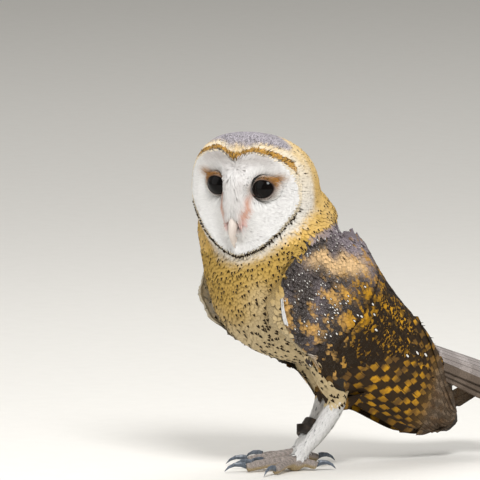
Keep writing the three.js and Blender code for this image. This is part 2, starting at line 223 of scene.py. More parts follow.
def head_place(points):
    """Points in the head's own axes, in millimetres: x to its left, -y ahead, z up."""
    back = np.array(HEAD_PLACE.inverted())
    return (points / MM - STANCE) @ back[:3, :3].T + back[:3, 3]


def head_way(ways):
    return ways @ np.array(HEAD_PLACE)[:3, :3].T


def from_head(points):
    there = np.array(HEAD_PLACE)
    return (points @ there[:3, :3].T + there[:3, 3] + STANCE) * MM


def eye_aside(x):
    """How far sideways a place on the face is from the nearer eye, outwards."""
    return np.where(x > 0, x - GLANCE, GLANCE - x) - EYE_PLACE[0]


def eye_share(local, tall):
    """How far a place on the face is from the nearer eye, as a share of the lids' opening."""
    aside = eye_aside(local[:, 0])
    return np.hypot(aside / eye_half(aside), (local[:, 2] - EYE_PLACE[2] - 0.08 * aside) / tall)


def eye_half(aside):
    """Half the width of the lids' opening, less on the side of the ridge."""
    return np.where(aside < 0, 8.9, 10.3)


def past_rim(local):
    """How many millimetres beyond the rim of the facial disc a place is, less than 0 inside it."""
    x = np.abs(local[:, 0])
    z = local[:, 2]
    reach = np.linspace(0, 1, 200)
    rim_x = 52 * reach
    notch = 7 * np.exp(-((rim_x / 9) ** 2))
    above = 1 + 39 * (1 - reach**2.8) ** 0.45 - notch
    below = 1 - 49 * (1 - reach**1.6) ** 0.72
    rim = np.vstack([np.column_stack([rim_x, above]), np.column_stack([rim_x, below])[::-1]])
    heart = np.clip(z, *RIDGE)
    angle = np.arctan2(x, z - heart)
    # The rim's distance from the ridge line, the same way.
    out = np.hypot(x, z - heart)
    gap = np.empty(len(x))
    for level in np.linspace(*RIDGE, 26):
        near = np.abs(heart - level) <= 1.0
        if near.any():
            turns = np.arctan2(rim[:, 0], rim[:, 1] - level)
            order = np.argsort(turns)
            reach_there = np.hypot(rim[:, 0], rim[:, 1] - level)
            limit = np.interp(angle[near], turns[order], reach_there[order])
            gap[near] = out[near] - limit
    return gap


# ------------------------------------------------------------------ meshes
SKIN = {}  # the skin's own arrays, which every coat piece is rooted on


def linked(name, data):
    piece = bpy.data.objects.new(name, data)
    bpy.context.scene.collection.objects.link(piece)
    return piece


def remeshed(name, nodes, cell):
    """One closed mesh of even cells round the outside of some solids."""
    shell = bmesh.new()
    for node in nodes:
        shell.from_mesh(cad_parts[node].data)
    mesh = bpy.data.meshes.new(name)
    shell.to_mesh(mesh)
    shell.free()
    piece = linked(name, mesh)
    cells = piece.modifiers.new("Cells", "REMESH")
    cells.mode = "VOXEL"
    cells.voxel_size = cell
    graph = bpy.context.evaluated_depsgraph_get()
    made = bpy.data.meshes.new_from_object(piece.evaluated_get(graph))
    piece.modifiers.clear()
    piece.data = made
    bpy.data.meshes.remove(mesh)
    made.name = name
    drop_crumbs(made)
    return piece


def drop_crumbs(mesh):
    """Keeps only the largest connected part of a mesh."""
    shell = bmesh.new()
    shell.from_mesh(mesh)
    parts = []
    for first in shell.verts:
        if first.tag:
            continue
        first.tag = True
        part, waiting = [], [first]
        while waiting:
            corner = waiting.pop()
            part.append(corner)
            for edge in corner.link_edges:
                other = edge.other_vert(corner)
                if not other.tag:
                    other.tag = True
                    waiting.append(other)
        parts.append(part)
    parts.sort(key=len)
    for part in parts[:-1]:
        bmesh.ops.delete(shell, geom=part, context="VERTS")
    shell.to_mesh(mesh)
    shell.free()


def places(mesh):
    found = np.empty(len(mesh.vertices) * 3)
    mesh.vertices.foreach_get("co", found)
    return found.reshape(-1, 3)


def set_places(mesh, points):
    mesh.vertices.foreach_set("co", np.ascontiguousarray(points, dtype=np.float32).ravel())
    mesh.update()


def facing(mesh):
    found = np.empty(len(mesh.vertices) * 3)
    mesh.vertex_normals.foreach_get("vector", found)
    return found.reshape(-1, 3)


def edge_pairs(mesh):
    pairs = np.empty(len(mesh.edges) * 2, dtype=int)
    mesh.edges.foreach_get("vertices", pairs)
    return pairs.reshape(-1, 2)


def evened(values, pairs, weight, rounds):
    """Moves each value towards the mean of its neighbours on the mesh."""
    values = np.array(values, dtype=float)
    flat = values.ndim == 1
    if flat:
        values = values[:, None]
    count = np.bincount(pairs.ravel(), minlength=len(values)).astype(float)
    weight = (np.ones(len(values)) * weight)[:, None]
    for _ in range(rounds):
        total = np.zeros_like(values)
        for column in range(values.shape[1]):
            total[:, column] = (
                np.bincount(pairs[:, 0], values[pairs[:, 1], column], len(values))
                + np.bincount(pairs[:, 1], values[pairs[:, 0], column], len(values))
            )
        values += weight * (total / np.maximum(count, 1)[:, None] - values)
    return values[:, 0] if flat else values


def solid_names(points, nodes):
    """Which of the solids each point is nearest to."""
    corners, faces, owner = [], [], []
    for index, node in enumerate(nodes):
        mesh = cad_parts[node].data
        start = sum(len(part) for part in corners)
        corners.append(places(mesh))
        for face in mesh.polygons:
            faces.append([start + v for v in face.vertices])
            owner.append(index)
    tree = BVHTree.FromPolygons(np.vstack(corners).tolist(), faces)
    return np.array([owner[tree.find_nearest(point)[2]] for point in points.tolist()])


# ------------------------------------------------------------------ feathers
def grid_faces(rows, columns):
    return np.array([
        (r * columns + c, r * columns + c + 1, (r + 1) * columns + c + 1, (r + 1) * columns + c)
        for r in range(rows - 1) for c in range(columns - 1)
    ])


def leaf_shape(rows=5, columns=5, tip=0.5):
    """A closed vane: u from -1 to 1 across, v from 0 at the root to 1 at the tip."""
    v = np.linspace(0, 1, rows) ** 0.8
    half = np.minimum(1.0, (0.35 + v * 1.6)) * np.sqrt(np.clip(1 - ((v - tip) / (1 - tip)), 0, 1))
    half = np.where(v < tip, np.minimum(1.0, 0.35 + v * 1.6), half)
    half[-1] = 0.12
    u = np.linspace(-1, 1, columns)
    tu = (half[:, None] * u[None]).ravel()
    tv = (v[:, None] - 0.05 * (u**2)[None] * v[:, None]).ravel()
    return tu, tv, grid_faces(rows, columns)


def fan_shape(locks=5, rows=4, fringe=0.35):
    """A vane of a few barb locks, closed at its root and parted towards its rounded tip."""
    tu, tv, faces = [], [], []
    for lock in range(locks):
        middle = (lock - (locks - 1) / 2) / (locks / 2)
        reach = 1 - 0.28 * middle**2
        for row in range(rows):
            v = row / (rows - 1)
            swell = 0.45 + 0.55 * math.sin(min(v * 1.5, 1) * math.pi / 2)
            half = swell / locks * (1.15 if v < 0.99 else fringe)
            for side in (-1, 1):
                tu.append(middle * swell + side * half)
                tv.append(v * reach)
        start = lock * rows * 2
        for row in range(rows - 1):
            a = start + row * 2
            faces.append((a, a + 1, a + 3, a + 2))
    return np.array(tu), np.array(tv), np.array(faces)


def lock_shape(rows=4):
    """One thin tuft that narrows to its tip."""
    v = np.linspace(0, 1, rows)
    half = np.where(v < 0.5, 1.0, 1 - (v - 0.5) * 1.7)
    tu = np.column_stack([-half, half]).ravel()
    tv = np.repeat(v, 2)
    faces = [(2 * r, 2 * r + 1, 2 * r + 3, 2 * r + 2) for r in range(rows - 1)]
    return tu, tv, np.array(faces)


def skin_at(points):
    """The nearest places on the skin, with its normals there and the faces they are on."""
    tree = SKIN["tree"]
    found = [tree.find_nearest(point) for point in points.tolist()]
    spots = np.array([f[0] for f in found])
    faces = np.array([f[2] for f in found])
    return spots, SKIN["face_normals"][faces], faces


def open_air(points, normals):
    """Whether each place is open to the air: few ways out of it meet the skin again."""
    tree = SKIN["tree"]
    ways_out, sight, headroom, crack = 4, 45 * MM, 30 * MM, 4 * MM
    starts = (points + normals * 1.2 * MM).tolist()
    met = np.zeros(len(points))
    side = unit(np.cross(normals, [0.31, 0.42, 0.85]))
    other = np.cross(normals, side)
    for turn in np.linspace(0, 2 * math.pi, ways_out, endpoint=False):
        ways = unit(normals + 1.2 * (math.cos(turn) * side + math.sin(turn) * other))
        met += [tree.ray_cast(start, way, sight)[0] is not None
                for start, way in zip(starts, ways.tolist())]
    hits = [tree.ray_cast(start, way, headroom)[3] for start, way in zip(starts, normals.tolist())]
    above = np.array([headroom if hit is None else hit for hit in hits])
    return ((met < ways_out) | (above >= headroom)) & (above > crack)


class Coat:
    """Feathers gathered as arrays, and made into one mesh at the end."""

    def __init__(self, name):
        self.name = name
        self.points, self.faces, self.vane, self.patch = [], [], [], []
        self.tint, self.mark, self.facing = [], [], []
        self.count = 0

    def lay(self, shape, at, ways, long, wide, tint, mark, low=0.3 * MM, high=2.0 * MM,
            camber=0.25, roll=0.0, hug=True, lift=0.0, tip_tint=None):
        """Lays feathers from their roots along the skin, each bent to follow it. Each takes
        one tint, or fades to the tint of the place where its tip lies."""
        tu, tv, faces = shape
        roots, normals = at.points, at.normals
        count = len(roots)
        if count == 0:
            return
        long, wide, high, low, lift, roll = (
            np.broadcast_to(size, count) for size in (long, wide, high, low, lift, roll)
        )
        ways = across(ways, normals)
        start = roots + normals * low[:, None]
        tips, tip_normals, middle_normals = roots + ways * long[:, None], normals, normals
        middles = roots + ways * long[:, None] * 0.5
        if hug:
            turned = dot(skin_at(tips)[1], normals)
            long = long * (0.4 + 0.6 * ease(turned, 0.1, 0.75))
            tips, tip_normals, _ = skin_at(roots + ways * long[:, None])
            middles = roots + ways * long[:, None] * 0.5
            middles, middle_normals, _ = skin_at(middles)
            drops = []
            for hand in (-1, 1):
                edge = middles + unit(np.cross(ways, normals)) * (hand * 0.45 * wide)[:, None]
                fallen = middles - skin_at(edge)[0]
                drops.append(dot(fallen, middle_normals) / (0.45 * wide))
            bent = (drops[0] + drops[1]) / 2
            camber = camber + np.clip(bent, -0.1, 1.0)
            wide = wide * (1 - 0.45 * np.clip(bent - 0.2, 0, 1))
            tip_normals = unit(tip_normals + 0.4 * normals)
        camber = np.broadcast_to(camber, count)[:, None, None]
        tips = tips + tip_normals * (high + lift * long)[:, None]
        middles = middles + middle_normals * (0.15 * low + 0.85 * high + lift * long * 0.3)[:, None]
        bend = 2 * middles - 0.5 * (start + tips)
        v = tv[None, :, None]
        centre = (1 - v) ** 2 * start[:, None] + 2 * v * (1 - v) * bend[:, None] + v**2 * tips[:, None]
        tangent = unit((1 - v) * (bend - start)[:, None] + v * (tips - bend)[:, None])
        upward = unit((1 - v) * normals[:, None] + v * tip_normals[:, None])
        side = unit(np.cross(tangent, upward))
        upward = np.cross(side, tangent)
        u = tu[None, :, None]
        half = (wide * 0.5)[:, None, None]
        points = centre + side * u * half
        points = points + upward * half * (u * np.tan(roll)[:, None, None] - camber * u**2)
        level = unit((1 - v) * normals[:, None] + v * tip_normals[:, None])
        shown = 0.3 * upward + 0.7 * level + side * (0.4 * camber * u)
        self.facing.append(unit(shown).reshape(-1, 3))
        self.points.append(points.reshape(-1, 3))
        offsets = self.count + np.arange(count) * len(tu)
        self.faces.append((faces[None] + offsets[:, None, None]).reshape(-1, 4))
        self.count += count * len(tu)
        self.vane.append(np.tile(np.column_stack([0.5 + 0.5 * tu, tv]), (count, 1)))
        spot = np.column_stack([tu * 0.35, tv - 0.5]) * 0.003
        self.patch.append((at.uv[:, None] + spot[None]).reshape(-1, 2))
        tip_tint = tint if tip_tint is None else tip_tint
        share = ease(tv, 0.3, 1.0)[None, :, None]
        self.tint.append(between(tint[:, None], tip_tint[:, None], share).reshape(-1, 3))
        self.mark.append(np.repeat(mark, len(tu), axis=0))

    def made(self, material, slot):
        mesh = bpy.data.meshes.new(self.name)
        points = np.vstack(self.points)
        faces = np.vstack(self.faces)
        mesh.vertices.add(len(points))
        mesh.vertices.foreach_set("co", points.astype(np.float32).ravel())
        mesh.loops.add(faces.size)
        mesh.loops.foreach_set("vertex_index", faces.astype(np.int32).ravel())
        mesh.polygons.add(len(faces))
        mesh.polygons.foreach_set("loop_start", np.arange(0, faces.size, 4, dtype=np.int32))
        mesh.update(calc_edges=True)
        corners = faces.ravel()
        for name, values in (("OFBake", np.vstack(self.patch)), ("vane", np.vstack(self.vane))):
            layer = mesh.uv_layers.new(name=name)
            layer.data.foreach_set("uv", values[corners].astype(np.float32).ravel())
        for name, values in (("tint", np.vstack(self.tint)), ("mark", np.vstack(self.mark))):
            if values.shape[1] == 3:
                values = np.column_stack([values, np.ones(len(values))])
            layer = mesh.color_attributes.new(name, "FLOAT_COLOR", "POINT")
            layer.data.foreach_set("color", values.astype(np.float32).ravel())
        mesh.shade_smooth()
        mesh.normals_split_custom_set_from_vertices(np.vstack(self.facing))
        mesh.materials.append(material)
        piece = linked(self.name, mesh)
        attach(piece, "root")


def some(at, chosen):
    """Only the chosen ones of some roots, with all that is known of them."""
    return SimpleNamespace(**{key: values[chosen] for key, values in vars(at).items()})


def scattered(spacing, allowed, seed):
    """Roots spread over the skin, no two nearer than the spacing, and the draw to go on with."""
    rng = np.random.default_rng(seed)
    areas = SKIN["areas"] * allowed
    wanted = int(areas.sum() / spacing**2 * 2.2)
    picked = rng.choice(len(areas), size=wanted, p=areas / areas.sum())
    weights = rng.dirichlet((1, 1, 1), size=wanted)
    corners = SKIN["triangles"][picked]
    points = np.einsum("nk,nkc->nc", weights, SKIN["points"][corners])
    cells = {}
    kept = []
    keys = np.floor(points / spacing).astype(int)
    around = [(i, j, k) for i in (-1, 0, 1) for j in (-1, 0, 1) for k in (-1, 0, 1)]
    spots = points.tolist()
    for index, (x, y, z) in enumerate(keys.tolist()):
        px, py, pz = spots[index]
        others = (other for i, j, k in around for other in cells.get((x + i, y + j, z + k), ()))
        if all((px - qx) ** 2 + (py - qy) ** 2 + (pz - qz) ** 2 >= spacing**2 for qx, qy, qz in others):
            cells.setdefault((x, y, z), []).append((px, py, pz))
            kept.append(index)
    weights, corners, picked = weights[kept], corners[kept], picked[kept]
    return SimpleNamespace(
        points=points[kept],
        normals=unit(np.einsum("nk,nkc->nc", weights, SKIN["normals"][corners])),
        uv=np.einsum("nk,nkc->nc", weights, SKIN["triangle_uv"][picked]),
        zone=SKIN["zone"][picked],
        depth=SKIN["depth"][picked],
    ), rng


# ------------------------------------------------------------------ materials
class Nodes:
    """A short hand for wiring a material's nodes."""

    def __init__(self, name):
        self.material = bpy.data.materials.new(name)
        self.material.use_nodes = True
        self.tree = self.material.node_tree
        self.surface = self.tree.nodes["Principled BSDF"]

    def add(self, kind, **settings):
        node = self.tree.nodes.new(kind)
        for key, value in settings.items():
            setattr(node, key, value)
        return node

    def put(self, socket, value):
        if isinstance(value, bpy.types.NodeSocket):
            self.tree.links.new(value, socket)
        else:
            socket.default_value = value

    def math(self, kind, a, b=0.0, c=0.0, clamp=False):
        node = self.add("ShaderNodeMath", operation=kind, use_clamp=clamp)
        for socket, value in zip(node.inputs, (a, b, c)):
            self.put(socket, value)
        return node.outputs[0]

    def step(self, value, low, high):
        node = self.add("ShaderNodeMapRange", interpolation_type="SMOOTHSTEP", clamp=True)
        self.put(node.inputs["Value"], value)
        self.put(node.inputs["From Min"], low)
        self.put(node.inputs["From Max"], high)
        return node.outputs["Result"]

    def blend(self, share, a, b, kind="MIX"):
        node = self.add("ShaderNodeMix", data_type="RGBA", blend_type=kind)
        self.put(node.inputs[0], share)
        self.put(node.inputs[6], a)
        self.put(node.inputs[7], b)
        return node.outputs[2]

    def noise(self, scale, detail=3.0, vector=None, roughness=0.5):
        node = self.add("ShaderNodeTexNoise")
        node.inputs["Scale"].default_value = scale
        node.inputs["Detail"].default_value = detail
        node.inputs["Roughness"].default_value = roughness
        if vector is not None:
            self.put(node.inputs["Vector"], vector)
        return node.outputs["Fac"]

    def here(self):
        return self.add("ShaderNodeTexCoord").outputs["Object"]

    def cracks(self, scale, vector):
        """How far a place is from the edge of its cell."""
        cells = self.add("ShaderNodeTexVoronoi", feature="DISTANCE_TO_EDGE")
        cells.inputs["Scale"].default_value = scale
        self.put(cells.inputs["Vector"], vector)
        return cells.outputs["Distance"]

    def oval(self, along, sideways):
        """How far out a place is, from how far along and how far sideways it is."""
        return self.math("SQRT", self.math("ADD", self.math("MULTIPLY", along, along),
                                           self.math("MULTIPLY", sideways, sideways)))

    def feather(self):
        """A feather's tint and marks, and a place on its vane: u, v and how far from the shaft."""
        tint = self.add("ShaderNodeAttribute", attribute_name="tint").outputs["Color"]
        mark = self.add("ShaderNodeAttribute", attribute_name="mark")
        split = self.add("ShaderNodeSeparateColor")
        self.put(split.inputs[0], mark.outputs["Color"])
        vane = self.add("ShaderNodeUVMap", uv_map="vane").outputs["UV"]
        parts = self.add("ShaderNodeSeparateXYZ")
        self.put(parts.inputs[0], vane)
        u = self.math("MULTIPLY_ADD", parts.outputs[0], 2.0, -1.0)
        marks = (*split.outputs, mark.outputs["Alpha"])
        return tint, marks, u, parts.outputs[1], self.math("ABSOLUTE", u)

    def lit(self, colour, light):
        """A colour made lighter or darker by a number."""
        shade = self.add("ShaderNodeCombineColor")
        for socket in shade.inputs[:3]:
            self.put(socket, light)
        return self.blend(1.0, colour, shade.outputs[0], "MULTIPLY")

    def bumped(self, height, strength, distance):
        node = self.add("ShaderNodeBump")
        node.inputs["Strength"].default_value = strength
        node.inputs["Distance"].default_value = distance
        self.put(node.inputs["Height"], height)
        self.put(self.surface.inputs["Normal"], node.outputs["Normal"])

    def finish(self, colour, roughness, specular=0.3, sheen=0.0):
        self.put(self.surface.inputs["Base Color"], colour)
        self.put(self.surface.inputs["Roughness"], roughness)
        self.surface.inputs["Specular IOR Level"].default_value = specular
        self.surface.inputs["Sheen Weight"].default_value = sheen
        return self.material


def solid_colour(rgb):
    return (rgb[0], rgb[1], rgb[2], 1.0)


def plumage(name, shadow=0.9, rim=0.0):
    """Feather vanes: a tint, then spots, drops, bars and speckles, over fine barbs.

    The mark holds how strong the dark spot, the white drop, the bars and the speckles are.
    """
    n = Nodes(name)
    tint, (spot_size, drop_size, bars, speckle), u, v, reach = n.feather()
    # Speckles over the whole vane, fine and dark.
    grain = n.noise(1400.0, 2.0, n.here())
    dark = solid_colour(paints().dark)
    speckled = n.math("MULTIPLY", n.step(grain, 0.5, 0.62), speckle, clamp=True)
    shown = n.blend(speckled, tint, dark)
    frost = n.noise(1250.0, 1.0, n.here())
    frosted = n.math("MULTIPLY", n.step(frost, 0.58, 0.68), n.math("MULTIPLY", speckle, 0.6))
    shown = n.blend(frosted, shown, (0.50, 0.47, 0.46, 1))
    # Bars across the vane.
    wave = n.math("SINE", n.math("MULTIPLY", v, n.math("MULTIPLY", bars, 6.28 * 10)))
    bar = n.math("MULTIPLY", n.step(wave, 0.35, 0.6), n.step(bars, 0.02, 0.05))
    shown = n.blend(bar, shown, dark)
    # A dark spot like an arrow head near the tip.
    arrow = n.math("ADD", n.math("SUBTRACT", v, 0.82), n.math("MULTIPLY", reach, 0.3))
    away = n.oval(n.math("DIVIDE", arrow, 0.13), n.math("DIVIDE", u, 0.42))
    spot = n.math("SUBTRACT", 1.0, n.step(away, n.math("MULTIPLY", spot_size, 0.75), spot_size))
    spot = n.math("MULTIPLY", spot, n.step(spot_size, 0.02, 0.1))
    shown = n.blend(spot, shown, dark)
    # A white drop with a black edge at the tip.
    away = n.oval(n.math("DIVIDE", n.math("SUBTRACT", v, 0.80), 0.15), n.math("DIVIDE", u, 0.21))
    ring = n.math("SUBTRACT", 1.0, n.step(away, n.math("MULTIPLY", drop_size, 1.3),
                                         n.math("MULTIPLY", drop_size, 1.7)))
    drop = n.math("SUBTRACT", 1.0, n.step(away, n.math("MULTIPLY", drop_size, 0.75), drop_size))
    shown = n.blend(n.math("MULTIPLY", ring, n.step(drop_size, 0.02, 0.1)), shown, dark)
    white = (0.8, 0.78, 0.74, 1)
    shown = n.blend(n.math("MULTIPLY", drop, n.step(drop_size, 0.02, 0.1)), shown, white)
    # Painted shade: a darker fringe round the tip, a dark line where the feather's edge lies over the
    # next one.
    if rim:
        fringe = n.math("MAXIMUM", n.step(reach, 0.6, 1.0), n.step(v, 0.86, 1.0))
        shown = n.blend(n.math("MULTIPLY", fringe, rim), shown, dark)
    # Painted shade: darker towards the root, where the next row of feathers lies over it.
    root = n.math("MULTIPLY_ADD", n.step(v, 0.05, 0.65), 1 - shadow, shadow)
    barb = n.math("SINE", n.math("MULTIPLY", n.math("ADD", v, n.math("MULTIPLY", reach, 0.5)), 60.0))
    shown = n.lit(shown, n.math("MULTIPLY", root, n.math("MULTIPLY_ADD", barb, 0.05, 0.97)))
    n.bumped(barb, 0.25, 0.0002)
    return n.finish(shown, 0.8, specular=0.07, sheen=0.02)


def flight_plumage(name, stain=0.55):
    """Long vanes. The mark holds the phase, count and strength of their bars, and speckles."""
    n = Nodes(name)
    tint, (phase, bars, strength, speckle), _, v, reach = n.feather()
    dark = solid_colour(paints().dark)
    here = n.here()
    ragged = n.math("MULTIPLY_ADD", n.noise(260.0, 3.0, here), 2.2, -1.1)
    tint = n.blend(n.math("MULTIPLY", n.step(n.noise(140.0, 2.0, here), 0.4, 0.7), stain), tint,
                   (0.16, 0.075, 0.02, 1))
    turns = n.math("ADD", n.math("MULTIPLY", v, n.math("MULTIPLY", bars, 20.0)), phase)
    turns = n.math("ADD", turns, n.math("MULTIPLY", reach, 0.12))
    wave = n.math("ADD", n.math("SINE", n.math("MULTIPLY", turns, 6.2832)), ragged)
    bar = n.math("MULTIPLY", n.step(wave, -0.6, -0.05), strength)
    shown = n.blend(bar, tint, dark)
    grain = n.noise(1500.0, 2.0, here)
    speckled = n.math("MULTIPLY", n.step(grain, 0.48, 0.62), speckle, clamp=True)
    shown = n.blend(speckled, shown, dark)
    shaft = n.math("SUBTRACT", 1.0, n.step(reach, 0.03, 0.07))
    shown = n.blend(n.math("MULTIPLY", shaft, 0.6), shown, dark)
    # Painted shade: darker along both edges of the vane, a dark line where one feather lies over the
    # next.
    edge = n.step(reach, 0.84, 0.98)
    shown = n.blend(n.math("MULTIPLY", edge, 0.6), shown, dark)
    barb = n.math("SINE", n.math("MULTIPLY", n.math("ADD", v, n.math("MULTIPLY", reach, 0.06)), 700.0))
    shown = n.lit(shown, n.math("MULTIPLY_ADD", barb, 0.05, 0.97))
    n.bumped(barb, 0.3, 0.0002)
    return n.finish(shown, 0.68, specular=0.12, sheen=0.01)


def skin_finish():
    n = Nodes("skin")
    tint = n.add("ShaderNodeAttribute", attribute_name="tint").outputs["Color"]
    here = n.here()
    fine = n.noise(900.0, 4.0, here)
    edge = n.step(n.cracks(650.0, here), 0.02, 0.18)
    shade = n.math("MULTIPLY", n.math("MULTIPLY_ADD", fine, 0.3, 0.85),
                   n.math("MULTIPLY_ADD", edge, 0.3, 0.7))
    shown = n.lit(tint, shade)
    n.bumped(edge, 0.5, 0.0004)
    return n.finish(shown, n.math("MULTIPLY_ADD", fine, 0.2, 0.55), specular=0.3)


def eye_finish():
    n = Nodes("eye")
    grain = n.noise(500.0, 3.0, n.here())
    shown = n.blend(n.step(grain, 0.35, 0.7), (0.0012, 0.001, 0.001, 1), (0.004, 0.002, 0.0015, 1))
    return n.finish(shown, n.math("MULTIPLY_ADD", grain, 0.02, 0.02), specular=0.13)


def horn_finish(name, low, high, streak, roughness):
    n = Nodes(name)
    here = n.here()
    stretched = n.add("ShaderNodeMapping")
    stretched.inputs["Scale"].default_value = (1.0, 1.0, 0.25)
    n.put(stretched.inputs["Vector"], here)
    lines = n.noise(streak, 4.0, stretched.outputs[0])
    blotch = n.noise(120.0, 2.0, here)
    share = n.math("MULTIPLY_ADD", lines, 0.6, n.math("MULTIPLY", blotch, 0.4))
    shown = n.blend(n.step(share, 0.3, 0.7), solid_colour(low), solid_colour(high))
    n.bumped(lines, 0.25, 0.0003)
    return n.finish(shown, n.math("MULTIPLY_ADD", blotch, 0.2, roughness), specular=0.5)


def leather_finish():
    n = Nodes("leather")
    here = n.here()
    pores = n.step(n.cracks(900.0, here), 0.0, 0.2)
    wear = n.noise(180.0, 4.0, here)
    shown = n.blend(n.step(wear, 0.45, 0.7), (0.022, 0.016, 0.012, 1), (0.075, 0.052, 0.036, 1))
    n.bumped(n.math("ADD", pores, wear), 0.5, 0.0003)
    return n.finish(shown, n.math("MULTIPLY_ADD", wear, 0.3, 0.45), specular=0.4)


# ------------------------------------------------------------------ markings
# Golden patches on the wing, as stations on the body's axis and angles round it.
WING_PATCHES = (
    (76, -38), (86, -43), (96, -4), (104, -34), (108, 4), (121, -14), (129, -12), (126, 19),
    (139, 0), (152, 30), (168, 35), (174, 4), (186, 38), (198, 9), (216, 12),
)


def wing_edge(station):
    """The angle of the wing's lower edge round the body."""
    return np.interp(station, [42, 56, 71, 86, 103, 145, 180, 230, 300],
                     [4, -24, -35, -43, -49, -56, -62, -72, -84])


